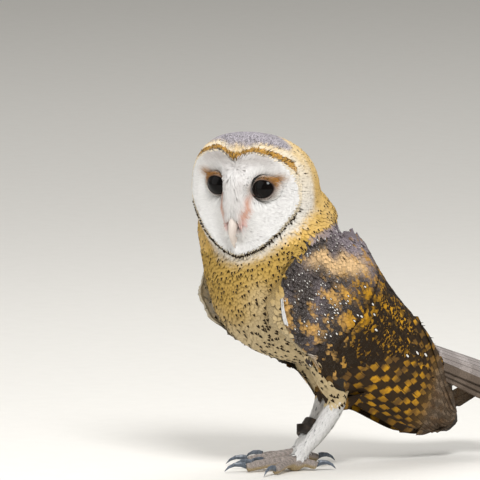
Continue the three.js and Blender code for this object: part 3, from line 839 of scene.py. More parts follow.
def markings(points, normals, zone):
    """The tint and the marks of the plumage at each place, for skin and feathers alike."""
    c = paints()
    golden, cream, breast = np.array(c.golden), np.array(c.cream), np.array(c.breast)
    slate, dark, disc = np.array(c.slate), np.array(c.dark), np.array(c.disc)
    orange = np.array(c.orange)
    station, x, height = body_place(points)
    angle = round_body(x, height)
    local = head_place(points)
    gap = past_rim(local)
    soft = wavy(points, 0.03, 3)
    fine = wavy(points, 0.009, 5)
    tint = np.tile(golden, (len(points), 1))
    mark = np.zeros((len(points), 4))

    def paint(part, tints, spot=0.0, drop=0.0, bars=0.0, speckle=0.0):
        """Gives the places of one part their tints, and all four of their marks."""
        tint[part] = np.broadcast_to(tints, tint.shape)[part]
        for column, strength in enumerate((spot, drop, bars, speckle)):
            mark[part, column] = np.broadcast_to(strength, len(points))[part]

    ahead = wane(local[:, 1], -6, 8)
    high = local[:, 2]

    # Neck and nape: golden with small dark specks, white to cream beside the disc.
    near_rim = ahead * wane(gap + 2.0 * soft, 2, between(6.5, 13, ease(-high, 0, 30)))
    creamy = 0.12 + 0.12 * soft + 0.4 * ease(high, 4, 28) * wane(local[:, 1], 10, 40)
    tint = mix(tint, cream, creamy)
    pale = mix(disc * 0.95, cream, 0.25 + ease(high, -12, 26) * 0.4)
    tint = mix(tint, pale, np.clip(near_rim * 1.1, 0, 1))
    mark[:, 0] = 1.0 * wane(near_rim, 0.55, 0.9)
    # Crown: lavender grey with dark and white speckles, parted with cream over the bill.
    parting = bump(local[:, 0], 0, 5.5) * wane(gap, 6, 12)
    top = ease(high + 0.22 * local[:, 1] + 2.0 * soft, 30, 35) * ease(gap, 5.4, 6.8)
    top = top * (1 - 0.9 * parting) * (zone <= ZONE["crown"])
    lavender = np.array([0.415, 0.385, 0.42])
    tint = mix(tint, lavender * (1 + 0.12 * fine[:, None]), top)
    mark[:, 3] = top * 0.8
    mark[:, 0] *= 1 - top
    mark[:, 1] = top * 0.8

    # Breast and belly.
    front = (zone == ZONE["breast"]) | (zone == ZONE["thigh"])
    down = ease(station + 7 * soft, 52, 92)
    straw, straw_light, painted_shade_brown = (0.58, 0.46, 0.27), (0.80, 0.70, 0.52), (0.07, 0.055, 0.03)
    belly = mix(breast, straw, down)
    # On the far side, what the wing's front edge covers: pale above, and dark below as painted shade
    # under the wing's edge.
    beside = wane(angle, -34, -26) * ease(-x, 36, 44)
    beside = beside * ease(angle, -62, -50) * wane(station, 100, 125)
    beyond = angle - wing_edge(station)
    hidden = mix(straw_light, painted_shade_brown, ease(station, 86, 92))
    rim = bump(beyond, -4, 5) * ease(station, 68, 73) * wane(station, 82, 87)
    hidden = mix(hidden, disc, rim)
    belly = mix(belly, hidden, beside)
    belly = mix(belly, pale, np.clip(near_rim, 0, 1) * 0.85)
    paint(front, belly, spot=1.15 + 0.3 * down)

    # Mantle: lilac grey with white drops, golden towards the nape.
    lilac_grey = np.array([0.31, 0.26, 0.29])
    nape = ease(station + 6 * soft + 4 * fine, 29, 44) * ease(height, 10, 26) * (zone == ZONE["neck"])
    nape = nape * wane(np.abs(x), 26, 40)
    tint = mix(tint, lilac_grey, nape)
    mark[:, 0] *= 1 - nape
    umber = np.array([0.028, 0.019, 0.011])
    mantle = mix(golden, lilac_grey, ease(station + 6 * soft + 4 * fine, 29, 44))
    mantle = mix(mantle, umber * 1.3, ease(station + 8 * soft, 100, 140))
    mantle = mix(mantle, orange, 0.85 * ease(fine + 0.4 * soft, 0.35, 0.7) * ease(station, 95, 125))
    low = ease(station, 38, 50)
    paint(zone == ZONE["mantle"], mantle, spot=0.6 * (1 - low), drop=low, speckle=0.5 * low)

    # Wings: dark slate, lilac near the mantle, with golden patches and a white front edge.
    reach = np.zeros(len(points))
    for at, turned in WING_PATCHES:
        longer = 1 + 0.5 * (at > 140)
        reach = np.maximum(reach, bump(station, at, 6.5 * longer) * bump(angle, turned, 6.5))
    patch = ease(reach + 0.35 * fine, 0.35, 0.62)
    patch = np.maximum(patch, 0.85 * ease(fine, 0.55, 0.8) * ease(station, 70, 90))
    streak = ease(np.sin(angle * 0.5 + 2.5 * soft), -0.1, 0.7) * ease(fine, -0.5, 0.2)
    streak = streak * ease(angle, 0, 12) * wane(angle, 50, 62)
    patch = np.maximum(patch, 0.8 * streak * ease(station, 84, 98) * wane(station, 160, 190))
    band = angle - 10 - 0.55 * (station - 60)
    peach = bump(band + 4 * soft, 0, 8.5) * ease(station, 50, 58) * wane(station, 96, 128)
    upper = ease(angle, 22, 42) * wane(station, 105, 150)
    ground = mix(slate * 0.5, lilac_grey * 0.8, np.clip(0.05 + 0.5 * soft, 0, 0.6) * (1 - upper))
    ground = mix(ground, lilac_grey, upper)
    brown = ease(station, 100, 140) * (1 - upper)
    ground = mix(ground, umber, brown)
    covert = mix(ground, orange, patch)
    apricot, peach_light, drab = (0.72, 0.45, 0.20), (0.80, 0.54, 0.28), (0.42, 0.36, 0.27)
    covert = mix(covert, apricot, patch * wane(station + angle, 95, 125) * 0.6)
    covert = mix(covert, peach_light, np.clip(peach * 1.5, 0, 1))
    under = (x < 0) * ease(-angle, 5, 20) * wane(station, 95, 120)
    covert = mix(covert, drab, under)
    # Painted shade: coverts far back that face in towards the other wing are dark umber.
    inner = (normals[:, 0] * np.sign(x) < 0.3 * ease(station, 200, 225)) & (station > 150)
    covert[inner] = umber * 1.7
    plain = (1 - np.clip(peach * 1.4, 0, 1)) * (1 - under)
    paint(zone == ZONE["wing"], covert, spot=0.9 * under, drop=0.9 * plain,
          bars=0.15 * ease(station, 128, 150) * ease(angle, -45, -30),
          speckle=0.75 * (1 - patch) * plain * (1 - 0.85 * brown) + 0.05 * patch)

    # Tail: pale grey, the bars are drawn on its long feathers.
    pale_grey = (0.36, 0.31, 0.29)
    paint(zone == ZONE["tail"], pale_grey, speckle=0.35)

    # Legs white, toes bare with yellowish soles.
    sole = (0.50, 0.36, 0.13)
    paint(zone == ZONE["tarsus"], disc * 0.95, speckle=0.12)
    middle = np.where(x[:, None] > 0, LEFT_FOOT, RIGHT_FOOT)
    away = np.linalg.norm(points[:, :2] / MM - middle, axis=1)
    scute = ease(np.sin(away * 2 * math.pi / 4.2), 0.1, 0.8) * ease(normals[:, 2], 0.1, 0.5)
    bare = np.array(c.toes) * (1 - 0.35 * scute[:, None])
    bare = mix(bare, sole, 0.6 * ease(-normals[:, 2], 0.0, 0.5))
    paint(zone == ZONE["toes"], bare)

    # Facial disc: white, greyer with painted shade over the eyes and beside the ridge, rusty round the
    # eyes.
    rust, rim_dark = (0.33, 0.155, 0.04), (0.07, 0.035, 0.025)
    blush, pink = (0.58, 0.24, 0.13), (0.74, 0.34, 0.28)
    wide = np.abs(local[:, 0])
    lilac = np.array([0.50, 0.45, 0.43])
    # Painted shade: grey over the tops of the lobes above the eyes, and on both sides of the ridge, as
    # if its crest shaded the disc.
    shade = ease(high, 16, 36) * wane(wide, 26, 42) * 0.65
    shade = shade + 0.42 * bump(wide, 6, 6) * ease(high, -18, -4) * wane(high, 12, 30)
    white = mix(disc, lilac, np.clip(shade * (1 + 0.3 * fine), 0, 1))
    off_x = eye_aside(local[:, 0])
    off_z = high - EYE_PLACE[2]
    far = eye_share(local, 7.8)
    corner = np.hypot((off_x - 10.0) / 5.5, (off_z - 6.0 - 0.2 * off_x) / 3.6)
    brow = bump(far, 1.16, 0.22) * ease(off_z + 0.3 * off_x, 1, 8)
    rusty = np.clip(0.4 * bump(far, 1.08, 0.17) + 0.95 * np.exp(-corner**2) + 0.6 * brow, 0, 1)
    streak = bump(wide, 10.0 + 0.36 * (high + 3), 2.6) * ease(high, -18, -12) * wane(high, 0, 7)
    white = mix(white, rust, rusty)
    white = mix(white, rim_dark, 0.8 * bump(far, 1.0, 0.12))
    white = mix(white, blush, np.clip(0.75 * streak, 0, 1))
    cere = bump(high, -17.5, 4.0) * wane(wide, 5.5, 9.5)
    white = mix(white, pink, cere * 0.85)
    paint(zone == ZONE["face"], white)

    # Ruff: ochre with dark specks above, plain at the side, a thin dark line below.
    buff = (0.62, 0.52, 0.34)
    upper = ease(high + 0.25 * soft, 14, 30)
    lower = wane(high, -10, -3)
    ochre = np.array([0.50, 0.27, 0.055])
    band = mix(disc, cream, 0.7)
    over = upper * ease(gap, -0.9, -0.4) * wane(gap, 3.6, 4.4)
    band = mix(band, ochre * (1 + 0.25 * fine[:, None]), over)
    thin = bump(gap, -0.9, 0.5) * upper * wane(wide, 34, 44) * 0.8
    band = mix(band, dark, np.clip(thin, 0, 1))
    fringe = lower * wane(gap, -0.9, -0.5)
    thick = 0.3 + 1.1 * ease(wide, 12, 30)
    line = lower * ease(gap, -0.9, -0.5) * wane(gap, thick, thick + 0.4)
    band = mix(band, buff, 0.6 * fringe)
    band = mix(band, dark * 1.1, np.clip(line * 1.2, 0, 1))
    paint(zone == ZONE["ruff"], band, spot=1.1 * over, speckle=0.55 * over + 0.9 * fringe)

    # Lids: bare dark margins.
    margin = (0.035, 0.018, 0.014)
    paint(zone == ZONE["lid"], margin)
    return tint, mark


# ------------------------------------------------------------------ zones
ZONES = (
    "face", "ruff", "crown", "neck", "breast", "mantle", "wing", "tail", "thigh", "tarsus", "toes",
    "lid",
)
ZONE = {name: index for index, name in enumerate(ZONES)}


def zones_of(points, owner):
    """Which part of the plumage each place belongs to, from its solid and its place."""
    local = head_place(points)
    gap = past_rim(local)
    station, x, height = body_place(points)
    angle = round_body(x, height)
    name = np.array(FLESH)[owner]
    zone = np.full(len(points), ZONE["neck"])
    head = name == "head"
    ahead = local[:, 1] < -16
    zone[head] = ZONE["crown"]
    outer = 2.0 + 3.2 * ease(local[:, 2], 10, 28)
    zone[head & ahead & (gap < outer)] = ZONE["ruff"]
    zone[head & ahead & (gap < -1.6)] = ZONE["face"]
    trunk = name == "trunk"
    zone[trunk] = np.where(height[trunk] > 8, ZONE["mantle"], ZONE["breast"])
    wing = (name == "wing_left") | (name == "wing_right")
    strip = (angle < wing_edge(station) - 2) & (station < 140)
    zone[wing] = np.where(strip[wing], ZONE["breast"], ZONE["wing"])
    zone[name == "tail"] = ZONE["tail"]
    for side in ("left", "right"):
        thigh = name == f"thigh_{side}"
        zone[thigh] = np.where(angle[thigh] > -58, ZONE["wing"], ZONE["thigh"])
        zone[name == f"tarsus_{side}"] = ZONE["tarsus"]
        zone[name == f"foot_{side}"] = ZONE["toes"]
    return zone


# ------------------------------------------------------------------ the skin
class OWL_OT_skin(bpy.types.Operator):
    """Make one skin over all the flesh, lying under the plumage by its depth"""

    bl_idname = "owl.skin"
    bl_label = "Skin"

    def execute(self, context):
        s = sizes()
        piece = remeshed("skin", FLESH, s.voxel)
        mesh = piece.data
        points = places(mesh)
        pairs = edge_pairs(mesh)
        owner = solid_names(points, FLESH)
        zone = zones_of(points, owner)
        steady = zone == ZONE["toes"]
        crisp = np.isin(zone, [ZONE[name] for name in ("face", "ruff", "tarsus", "tail")])
        weight = np.where(steady, 0.12, np.where(crisp, 0.3, 0.6))
        points = evened(points, pairs, evened(weight, pairs, 0.5, 6), 22)
        set_places(mesh, points)
        depth_of = {
            "face": s.face_depth, "ruff": s.crown_depth * 0.6, "crown": s.crown_depth,
            "neck": s.body_depth * 0.8, "breast": s.body_depth, "mantle": s.body_depth * 0.5,
            "wing": s.wing_depth, "tail": 0.8 * MM, "thigh": s.leg_depth * 1.4,
            "tarsus": s.leg_depth, "toes": 0.05 * MM, "lid": 0.2 * MM,
        }
        depth = np.array([depth_of[name] for name in ZONES])[zone]
        on_wing = np.isin(owner, [FLESH.index("wing_left"), FLESH.index("wing_right")])
        depth[on_wing] = np.minimum(depth[on_wing], s.wing_depth)
        depth = evened(depth, pairs, 0.5, 8)
        points = points - facing(mesh) * depth[:, None]
        points[:, 2] = np.maximum(points[:, 2], 0.0002)
        set_places(mesh, points)
        for side in (1, -1):
            zone, depth = self.lids(mesh, side, zone, depth)
        self.unwrap(piece)
        self.keep(mesh, zone, depth)
        tint = markings(SKIN["points"], SKIN["normals"], zone)[0]
        # Painted shade: the skin shows only in the gaps between feathers, so its tint is darkened, less
        # on the face and not on the bare toes.
        painted_gap_shade = np.where(zone == ZONE["toes"], 1.0, np.where(zone == ZONE["face"], 0.92, 0.72))[:, None]
        layer = mesh.color_attributes.new("tint", "FLOAT_COLOR", "POINT")
        shown = np.column_stack([tint * painted_gap_shade, np.ones(len(tint))])
        layer.data.foreach_set("color", shown.astype(np.float32).ravel())
        mesh.materials.append(skin_finish())
        mesh.shade_smooth()
        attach(piece, "root")
        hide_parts(*FLESH)
        return {"FINISHED"}

    def lids(self, mesh, side, zone, depth):
        """Adds the fold of the lids, which rises from the disc over the eyeball's edge."""
        around = 56
        rings = ((1.42, 2.5), (1.18, 0.0), (1.04, -0.5), (1.0, -0.6), (0.97, -0.5), (0.96, 0.3))
        ex, ey, ez = EYE_PLACE
        turn = np.linspace(0, 2 * math.pi, around, endpoint=False)
        rise = 0.8 * np.cos(turn)
        shell = bmesh.new()
        shell.from_mesh(mesh)
        old = len(shell.verts)
        rows = []
        for grown, behind in rings:
            x = eye_half(np.cos(turn)) * grown * np.cos(turn)
            z = 7.9 * grown * np.sin(turn) + rise
            ball = 1 - (x / EYE_RADIUS) ** 2 - (z / (EYE_RADIUS * EYE_HEIGHT)) ** 2
            y = ey - EYE_RADIUS * EYE_DEPTH * np.sqrt(np.clip(ball, 0.05, 1)) + behind
            spots = np.column_stack([side * (x + ex) + GLANCE, y, z + ez])
            rows.append([shell.verts.new(spot) for spot in from_head(spots).tolist()])
        for inner, outer in zip(rows[1:], rows[:-1]):
            for i in range(around):
                j = (i + 1) % around
                corners = (outer[i], outer[j], inner[j], inner[i])
                shell.faces.new(corners if side > 0 else corners[::-1])
        shell.to_mesh(mesh)
        shell.free()
        added = len(mesh.vertices) - old
        fresh = np.full(added, ZONE["face"])
        fresh[3 * around:] = ZONE["lid"]
        return np.concatenate([zone, fresh]), np.concatenate([depth, np.full(added, 0.5 * MM)])

    def unwrap(self, piece):
        """Lays the skin's own surface out flat, for the coat's patches."""
        piece.data.uv_layers.new(name="OFBake")
        bpy.context.view_layer.objects.active = piece
        piece.select_set(True)
        bpy.ops.object.mode_set(mode="EDIT")
        bpy.ops.mesh.select_all(action="SELECT")
        bpy.ops.uv.smart_project(angle_limit=math.radians(66), island_margin=0.002)
        bpy.ops.object.mode_set(mode="OBJECT")
        piece.select_set(False)

    def keep(self, mesh, zone, depth):
        """Keeps the skin's triangles, normals and map for the coat."""
        mesh.calc_loop_triangles()
        count = len(mesh.loop_triangles)
        triangles = np.empty(count * 3, dtype=int)
        loops = np.empty(count * 3, dtype=int)
        mesh.loop_triangles.foreach_get("vertices", triangles)
        mesh.loop_triangles.foreach_get("loops", loops)
        triangles = triangles.reshape(-1, 3)
        uv = np.empty(len(mesh.loops) * 2)
        mesh.uv_layers["OFBake"].data.foreach_get("uv", uv)
        points = places(mesh)
        corners = points[triangles]
        raised = np.cross(corners[:, 1] - corners[:, 0], corners[:, 2] - corners[:, 0])
        pairs = edge_pairs(mesh)
        crisp = [ZONE[name] for name in ("face", "lid", "toes", "ruff")]
        calm = np.where(np.isin(zone, crisp), 0.15, 0.6)
        SKIN["points"] = points
        SKIN["normals"] = unit(evened(facing(mesh), pairs, calm, 14))
        SKIN["triangles"] = triangles
        SKIN["triangle_uv"] = uv.reshape(-1, 2)[loops.reshape(-1, 3)]
        SKIN["areas"] = np.linalg.norm(raised, axis=1) / 2
        SKIN["face_normals"] = unit(SKIN["normals"][triangles].mean(axis=1))
        SKIN["zone"] = zone[triangles[:, 0]]
        SKIN["depth"] = depth[triangles].mean(axis=1)
        SKIN["tree"] = BVHTree.FromPolygons(points.tolist(), triangles.tolist())


def head_flow(local):
    """Feathers on the head lie back from the face, and down the nape and cheeks."""
    ways = unit(local - np.array([0.0, -70.0, 15.0]))
    fall = ease(local[:, 1], -10, 45)[:, None]
    ways = unit(ways * (1 - 0.5 * fall) + np.array([0, 0, -1.0]) * fall)
    return head_way(ways)


def face_flow(local):
    """Feathers of the disc spread from the ridge over the bill out to the rim."""
    heart = np.clip(local[:, 2], *RIDGE)
    ways = unit(np.column_stack([local[:, 0], np.zeros(len(local)), local[:, 2] - heart]))
    aside = local[:, 0] - EYE_PLACE[0] * np.sign(local[:, 0])
    off = np.column_stack([aside, np.zeros(len(local)), local[:, 2] - EYE_PLACE[2]])
    near = bump(np.linalg.norm(off, axis=1), 9, 8)[:, None]
    ways = unit(ways * (1 - 0.85 * near) + unit(off) * near * 1.2)
    ridge = (bump(local[:, 0], 0, 9) * wane(local[:, 2], 20, 34))[:, None]
    ways = unit(ways * (1 - 0.9 * ridge) + np.array([0, 0, -1.0]) * ridge)
    return head_way(unit(ways + np.array([0, 0.2, -0.001])))


class Feathering:
    """What the coat's operators share: roots, tints and close-lying contour feathers for some zones."""

    @staticmethod
    def tints(at, ways, long, spread, rng):
        """Tints at the roots and at the tips, a little uneven, and the marks at the tips."""
        tips = at.points + across(ways, at.normals) * (np.ones(len(at.points)) * long)[:, None] * 0.9
        light = rng.uniform(1 - spread, 1 + spread, (len(at.points), 1))
        root = markings(at.points, at.normals, at.zone)[0] * light
        tip, mark = markings(tips, at.normals, at.zone)
        return root, tip * light, mark

    @staticmethod
    def roots(names, spacing, seed):
        """Where the feathers of some zones grow, out in the open, and the draw to go on with."""
        allowed = np.isin(SKIN["zone"], [ZONE[name] for name in names]).astype(float)
        at, rng = scattered(spacing, allowed, seed)
        return some(at, open_air(at.points, at.normals)), rng

    @staticmethod
    def contour(name, zone, slot, at, ways, long, wide, tint, tip, mark, marked, rng):
        """Small rounded feathers that lie close, the marked ones a little over the others."""
        coat = Coat(name)
        coat.lay(leaf_shape(5, 5, 0.6), at, ways, long, wide, tint, mark,
                 high=at.depth * (0.88 + 0.1 * marked), camber=0.08,
                 roll=rng.normal(0, 0.05, len(at.points)), tip_tint=tip)
        coat.made(plumage(f"{zone} feathers"), slot)


class OWL_OT_face(Feathering, bpy.types.Operator):
    """Lay the short feathers of the facial disc, and the ruff round it"""

    bl_idname = "owl.face"
    bl_label = "Face and ruff"

    def execute(self, context):
        s = sizes()
        coat = Coat("coat_face")
        at, rng = self.roots(["face"], 0.95 * MM, s.seed)
        at.local = head_place(at.points)
        at.near = eye_share(at.local, 7.9)
        at = some(at, at.near > 1.07)
        local, count = at.local, len(at.points)
        tint, mark = markings(at.points, at.normals, at.zone)
        tint = uneven(tint, 0.95, 1.04, rng)
        size = rng.uniform(0.8, 1.15, count)
        size = size * (0.3 + 0.7 * ease(at.near, 1.0, 1.8))
        size = size * (1 - 0.55 * ease(past_rim(local), -7, -2))
        ways = face_flow(local)
        ridge = bump(local[:, 0], 0, 6.5) * ease(local[:, 2], -20, -8) * wane(local[:, 2], 16, 26)
        coat.lay(lock_shape(4), at, ways, s.face_feather * size, 1.8 * MM * size, tint, mark,
                 low=(0.3 + 0.3 * ridge) * MM,
                 high=at.depth * rng.uniform(0.75, 1.05, count) * (1 + 0.6 * ridge), camber=0.1,
                 roll=rng.normal(0, 0.1, count))
        self.bristles(coat, s)
        coat.made(plumage("disc feathers", shadow=0.9), "plumage_white")

        ruff = Coat("coat_ruff")
        at, rng = self.roots(["ruff"], 0.85 * MM, s.seed + 1)
        local = head_place(at.points)
        tint, mark = markings(at.points, at.normals, at.zone)
        tint = uneven(tint, 0.85, 1.1, rng)
        specked = (mark[:, 0] > 0.3) & (rng.random(len(mark)) < 0.22)
        tint[specked] *= 0.35
        mark[:, 0] = 0
        ways = unit(face_flow(local) + head_way(np.array([[0, 0.1, 0]])))
        long = between(2.2, 2.7, ease(local[:, 2], 0, 24)) * MM
        ruff.lay(lock_shape(4), at, ways, long, 1.5 * MM, tint, mark,
                 high=at.depth * (1.0 + 0.3 * (tint.max(axis=1) < 0.12)), lift=0.05, camber=0.1)
        ruff.made(plumage("ruff feathers", shadow=0.75), "plumage_golden")
        return {"FINISHED"}

    def bristles(self, coat, s):
        """Fine bristles that hang from the foot of the ridge over the root of the bill."""
        allowed = (SKIN["zone"] == ZONE["face"]).astype(float)
        middles = head_place(SKIN["points"][SKIN["triangles"]].mean(axis=1))
        allowed = allowed * (np.abs(middles[:, 0]) < 6.5) * (middles[:, 2] < -8) * (middles[:, 2] > -24)
        at, rng = scattered(0.7 * MM, allowed, s.seed + 21)
        local = head_place(at.points)
        tint, mark = markings(at.points, at.normals, at.zone)
        tint = uneven(mix(tint, paints().disc, 0.3), 0.9, 1.05, rng)
        aside = local[:, :1] * 0.06
        ways = np.column_stack([aside, np.full(len(local), -0.35), np.full(len(local), -1.0)])
        coat.lay(lock_shape(5), at, head_way(unit(ways)), 8.5 * MM, 0.8 * MM, tint, mark,
                 high=3.0 * MM, hug=False, roll=rng.normal(0, 0.2, len(local)))


class OWL_OT_head(Feathering, bpy.types.Operator):
    """Lay the feathers of the crown, the nape and the neck"""

    bl_idname = "owl.head"
    bl_label = "Crown and neck"

    def execute(self, context):
        s = sizes()
        for name, zones, spacing, size, wide in (
            ("coat_crown", ["crown"], 1.25 * MM, s.crown_feather * 0.65, 1.9 * MM),
            ("coat_neck", ["neck"], 1.6 * MM, s.breast_feather * 0.55, 3.0 * MM),
        ):
            at, rng = self.roots(zones, spacing, s.seed + 2)
            local = head_place(at.points)
            share = ease(local[:, 2], -40, -5)[:, None]
            ways = unit(head_flow(local) * share + body_flow(at.points) * (1 - share))
            ways = unit(ways + rng.normal(0, 0.06, ways.shape))
            tint, tip, mark = self.tints(at, ways, size, 0.06, rng)
            mark[:, 0] *= rng.random(len(mark)) < (0.08 if name == "coat_crown" else 0.2)
            chance = rng.random(len(mark))
            grey = mark[:, 1] > 0.4
            tip[grey & (chance < 0.16)] *= 0.55
            tip[grey & (chance > 0.92)] *= 1.4
            mark[:, 1] = 0
            marked = mark[:, 0] > 0.1
            longer = 1 + 0.35 * ease(local[:, 1], 5, 40) + 0.45 * marked
            grown = rng.uniform(0.85, 1.15, len(mark)) * longer
            self.contour(name, zones[0], "plumage_golden", at, ways, size * grown, wide * grown,
                         tint, tip, mark, marked, rng)
        return {"FINISHED"}


class OWL_OT_body(Feathering, bpy.types.Operator):
    """Lay the feathers of the breast, the belly and the mantle"""

    bl_idname = "owl.body"
    bl_label = "Breast and mantle"

    def execute(self, context):
        s = sizes()
        for name, zones, spacing, size, wide, slot in (
            ("coat_breast", ["breast", "thigh"], 1.75 * MM, s.breast_feather * 0.6, 3.6 * MM,
             "plumage_breast"),
            ("coat_mantle", ["mantle"], 2.3 * MM, s.mantle_feather * 0.5, 4.8 * MM, "plumage_slate"),
        ):
            at, rng = self.roots(zones, spacing, s.seed + 3)
            ways = unit(body_flow(at.points) + rng.normal(0, 0.06, at.points.shape))
            tint, tip, mark = self.tints(at, ways, size, 0.05, rng)
            mark[:, 0] *= rng.random(len(mark)) < 0.2
            mark[:, 1] *= rng.random(len(mark)) < 0.2
            marked = mark[:, :2].max(axis=1) > 0.1
            grown = rng.uniform(0.85, 1.15, len(mark)) * (1 + 0.3 * marked)
            self.contour(name, zones[0], slot, at, ways, size * grown, wide * grown,
                         tint, tip, mark, marked, rng)
        return {"FINISHED"}


def on_body(station, angle, side):
    """Places on the skin seen from the body's axis, and its normals, at stations and angles."""
    step = np.searchsorted(STATION, np.clip(station, 0, STATION[-1] - 0.01))
    middle = np.column_stack([np.zeros(len(step)), AXIS[step]]) + STANCE
    lean = LEAN[step]
    over = np.sin(angle)
    way = np.column_stack([side * np.cos(angle), over * np.cos(lean), over * np.sin(lean)])
    found, normals = [], []
    tree = SKIN["tree"]
    for centre, out in zip((middle * MM).tolist(), way.tolist()):
        centre, out = Vector(centre), Vector(out)
        spot, _, face, _ = tree.ray_cast(centre + out * 0.15, -out)
        if spot is None:
            spot, _, face, _ = tree.find_nearest(centre + out * 0.02)
        found.append(tuple(spot))
        normals.append(SKIN["face_normals"][face])
    return np.array(found), np.array(normals)


def long_feathers(coat, paths, normals, half_widths, roll, tint, mark, columns=7):
    """Long vanes along paths of places on the bird, each with its shaft and its own strip
    of the map. The outer edge tapers round to the tip."""
    count, rows, _ = paths.shape
    v = np.linspace(0, 1, rows)
    u = np.linspace(-1, 1, columns)
    tangent = unit(np.gradient(paths, axis=1))
    side = unit(np.cross(tangent, normals))
    upward = np.cross(side, tangent)
    round_tip = np.sqrt(np.clip(1 - np.clip((v - 0.86) / 0.14, 0, 1) ** 2, 0.02, 1))
    swell = (0.55 + 0.45 * ease(v, 0, 0.25)) * round_tip
    half = half_widths[:, None, None] * (swell[:, None] * np.ones(columns))[None]
    tilt = np.tan(roll)[:, None, None]
    rise = half * (tilt * u[None, None] - 0.22 * u[None, None] ** 2)
    shaft = 0.5 * MM * np.exp(-((u / 0.12) ** 2)) * (1 - 0.7 * v[:, None])
    points = paths[:, :, None] + side[:, :, None] * (half * u)[..., None]
    points = points + upward[:, :, None] * (rise + shaft[None])[..., None]
    faces = grid_faces(rows, columns)
    shown = upward[:, :, None] - side[:, :, None] * (0.6 * tilt - 0.35 * u[None, None])[..., None]
    coat.facing.append(unit(shown).reshape(-1, 3))
    each = rows * columns
    offsets = coat.count + np.arange(count) * each
    coat.points.append(points.reshape(-1, 3))
    coat.faces.append((faces[None] + offsets[:, None, None]).reshape(-1, 4))
    coat.count += count * each
    grid_u, grid_v = np.meshgrid(u, v)
    coat.vane.append(np.tile(np.column_stack([0.5 + 0.5 * grid_u.ravel(), grid_v.ravel()]), (count, 1)))
    wide = 1 / 64
    left = np.arange(count) * wide
    patch_u = left[:, None] + wide * 0.9 * (0.5 + 0.5 * grid_u.ravel())[None]
    patch_v = np.broadcast_to(0.02 + 0.96 * grid_v.ravel(), patch_u.shape)
    coat.patch.append(np.stack([patch_u, patch_v], axis=-1).reshape(-1, 2))
    coat.tint.append(tint if len(tint) == count * each else np.repeat(tint, each, axis=0))
    coat.mark.append(mark if len(mark) == count * each else np.repeat(mark, each, axis=0))


def evened_rows(values, rounds):
    """Smooths values along each feather's path, keeping its ends."""
    values = values.copy()
    for _ in range(rounds):
        values[:, 1:-1] = 0.5 * values[:, 1:-1] + 0.25 * (values[:, :-2] + values[:, 2:])
    return values


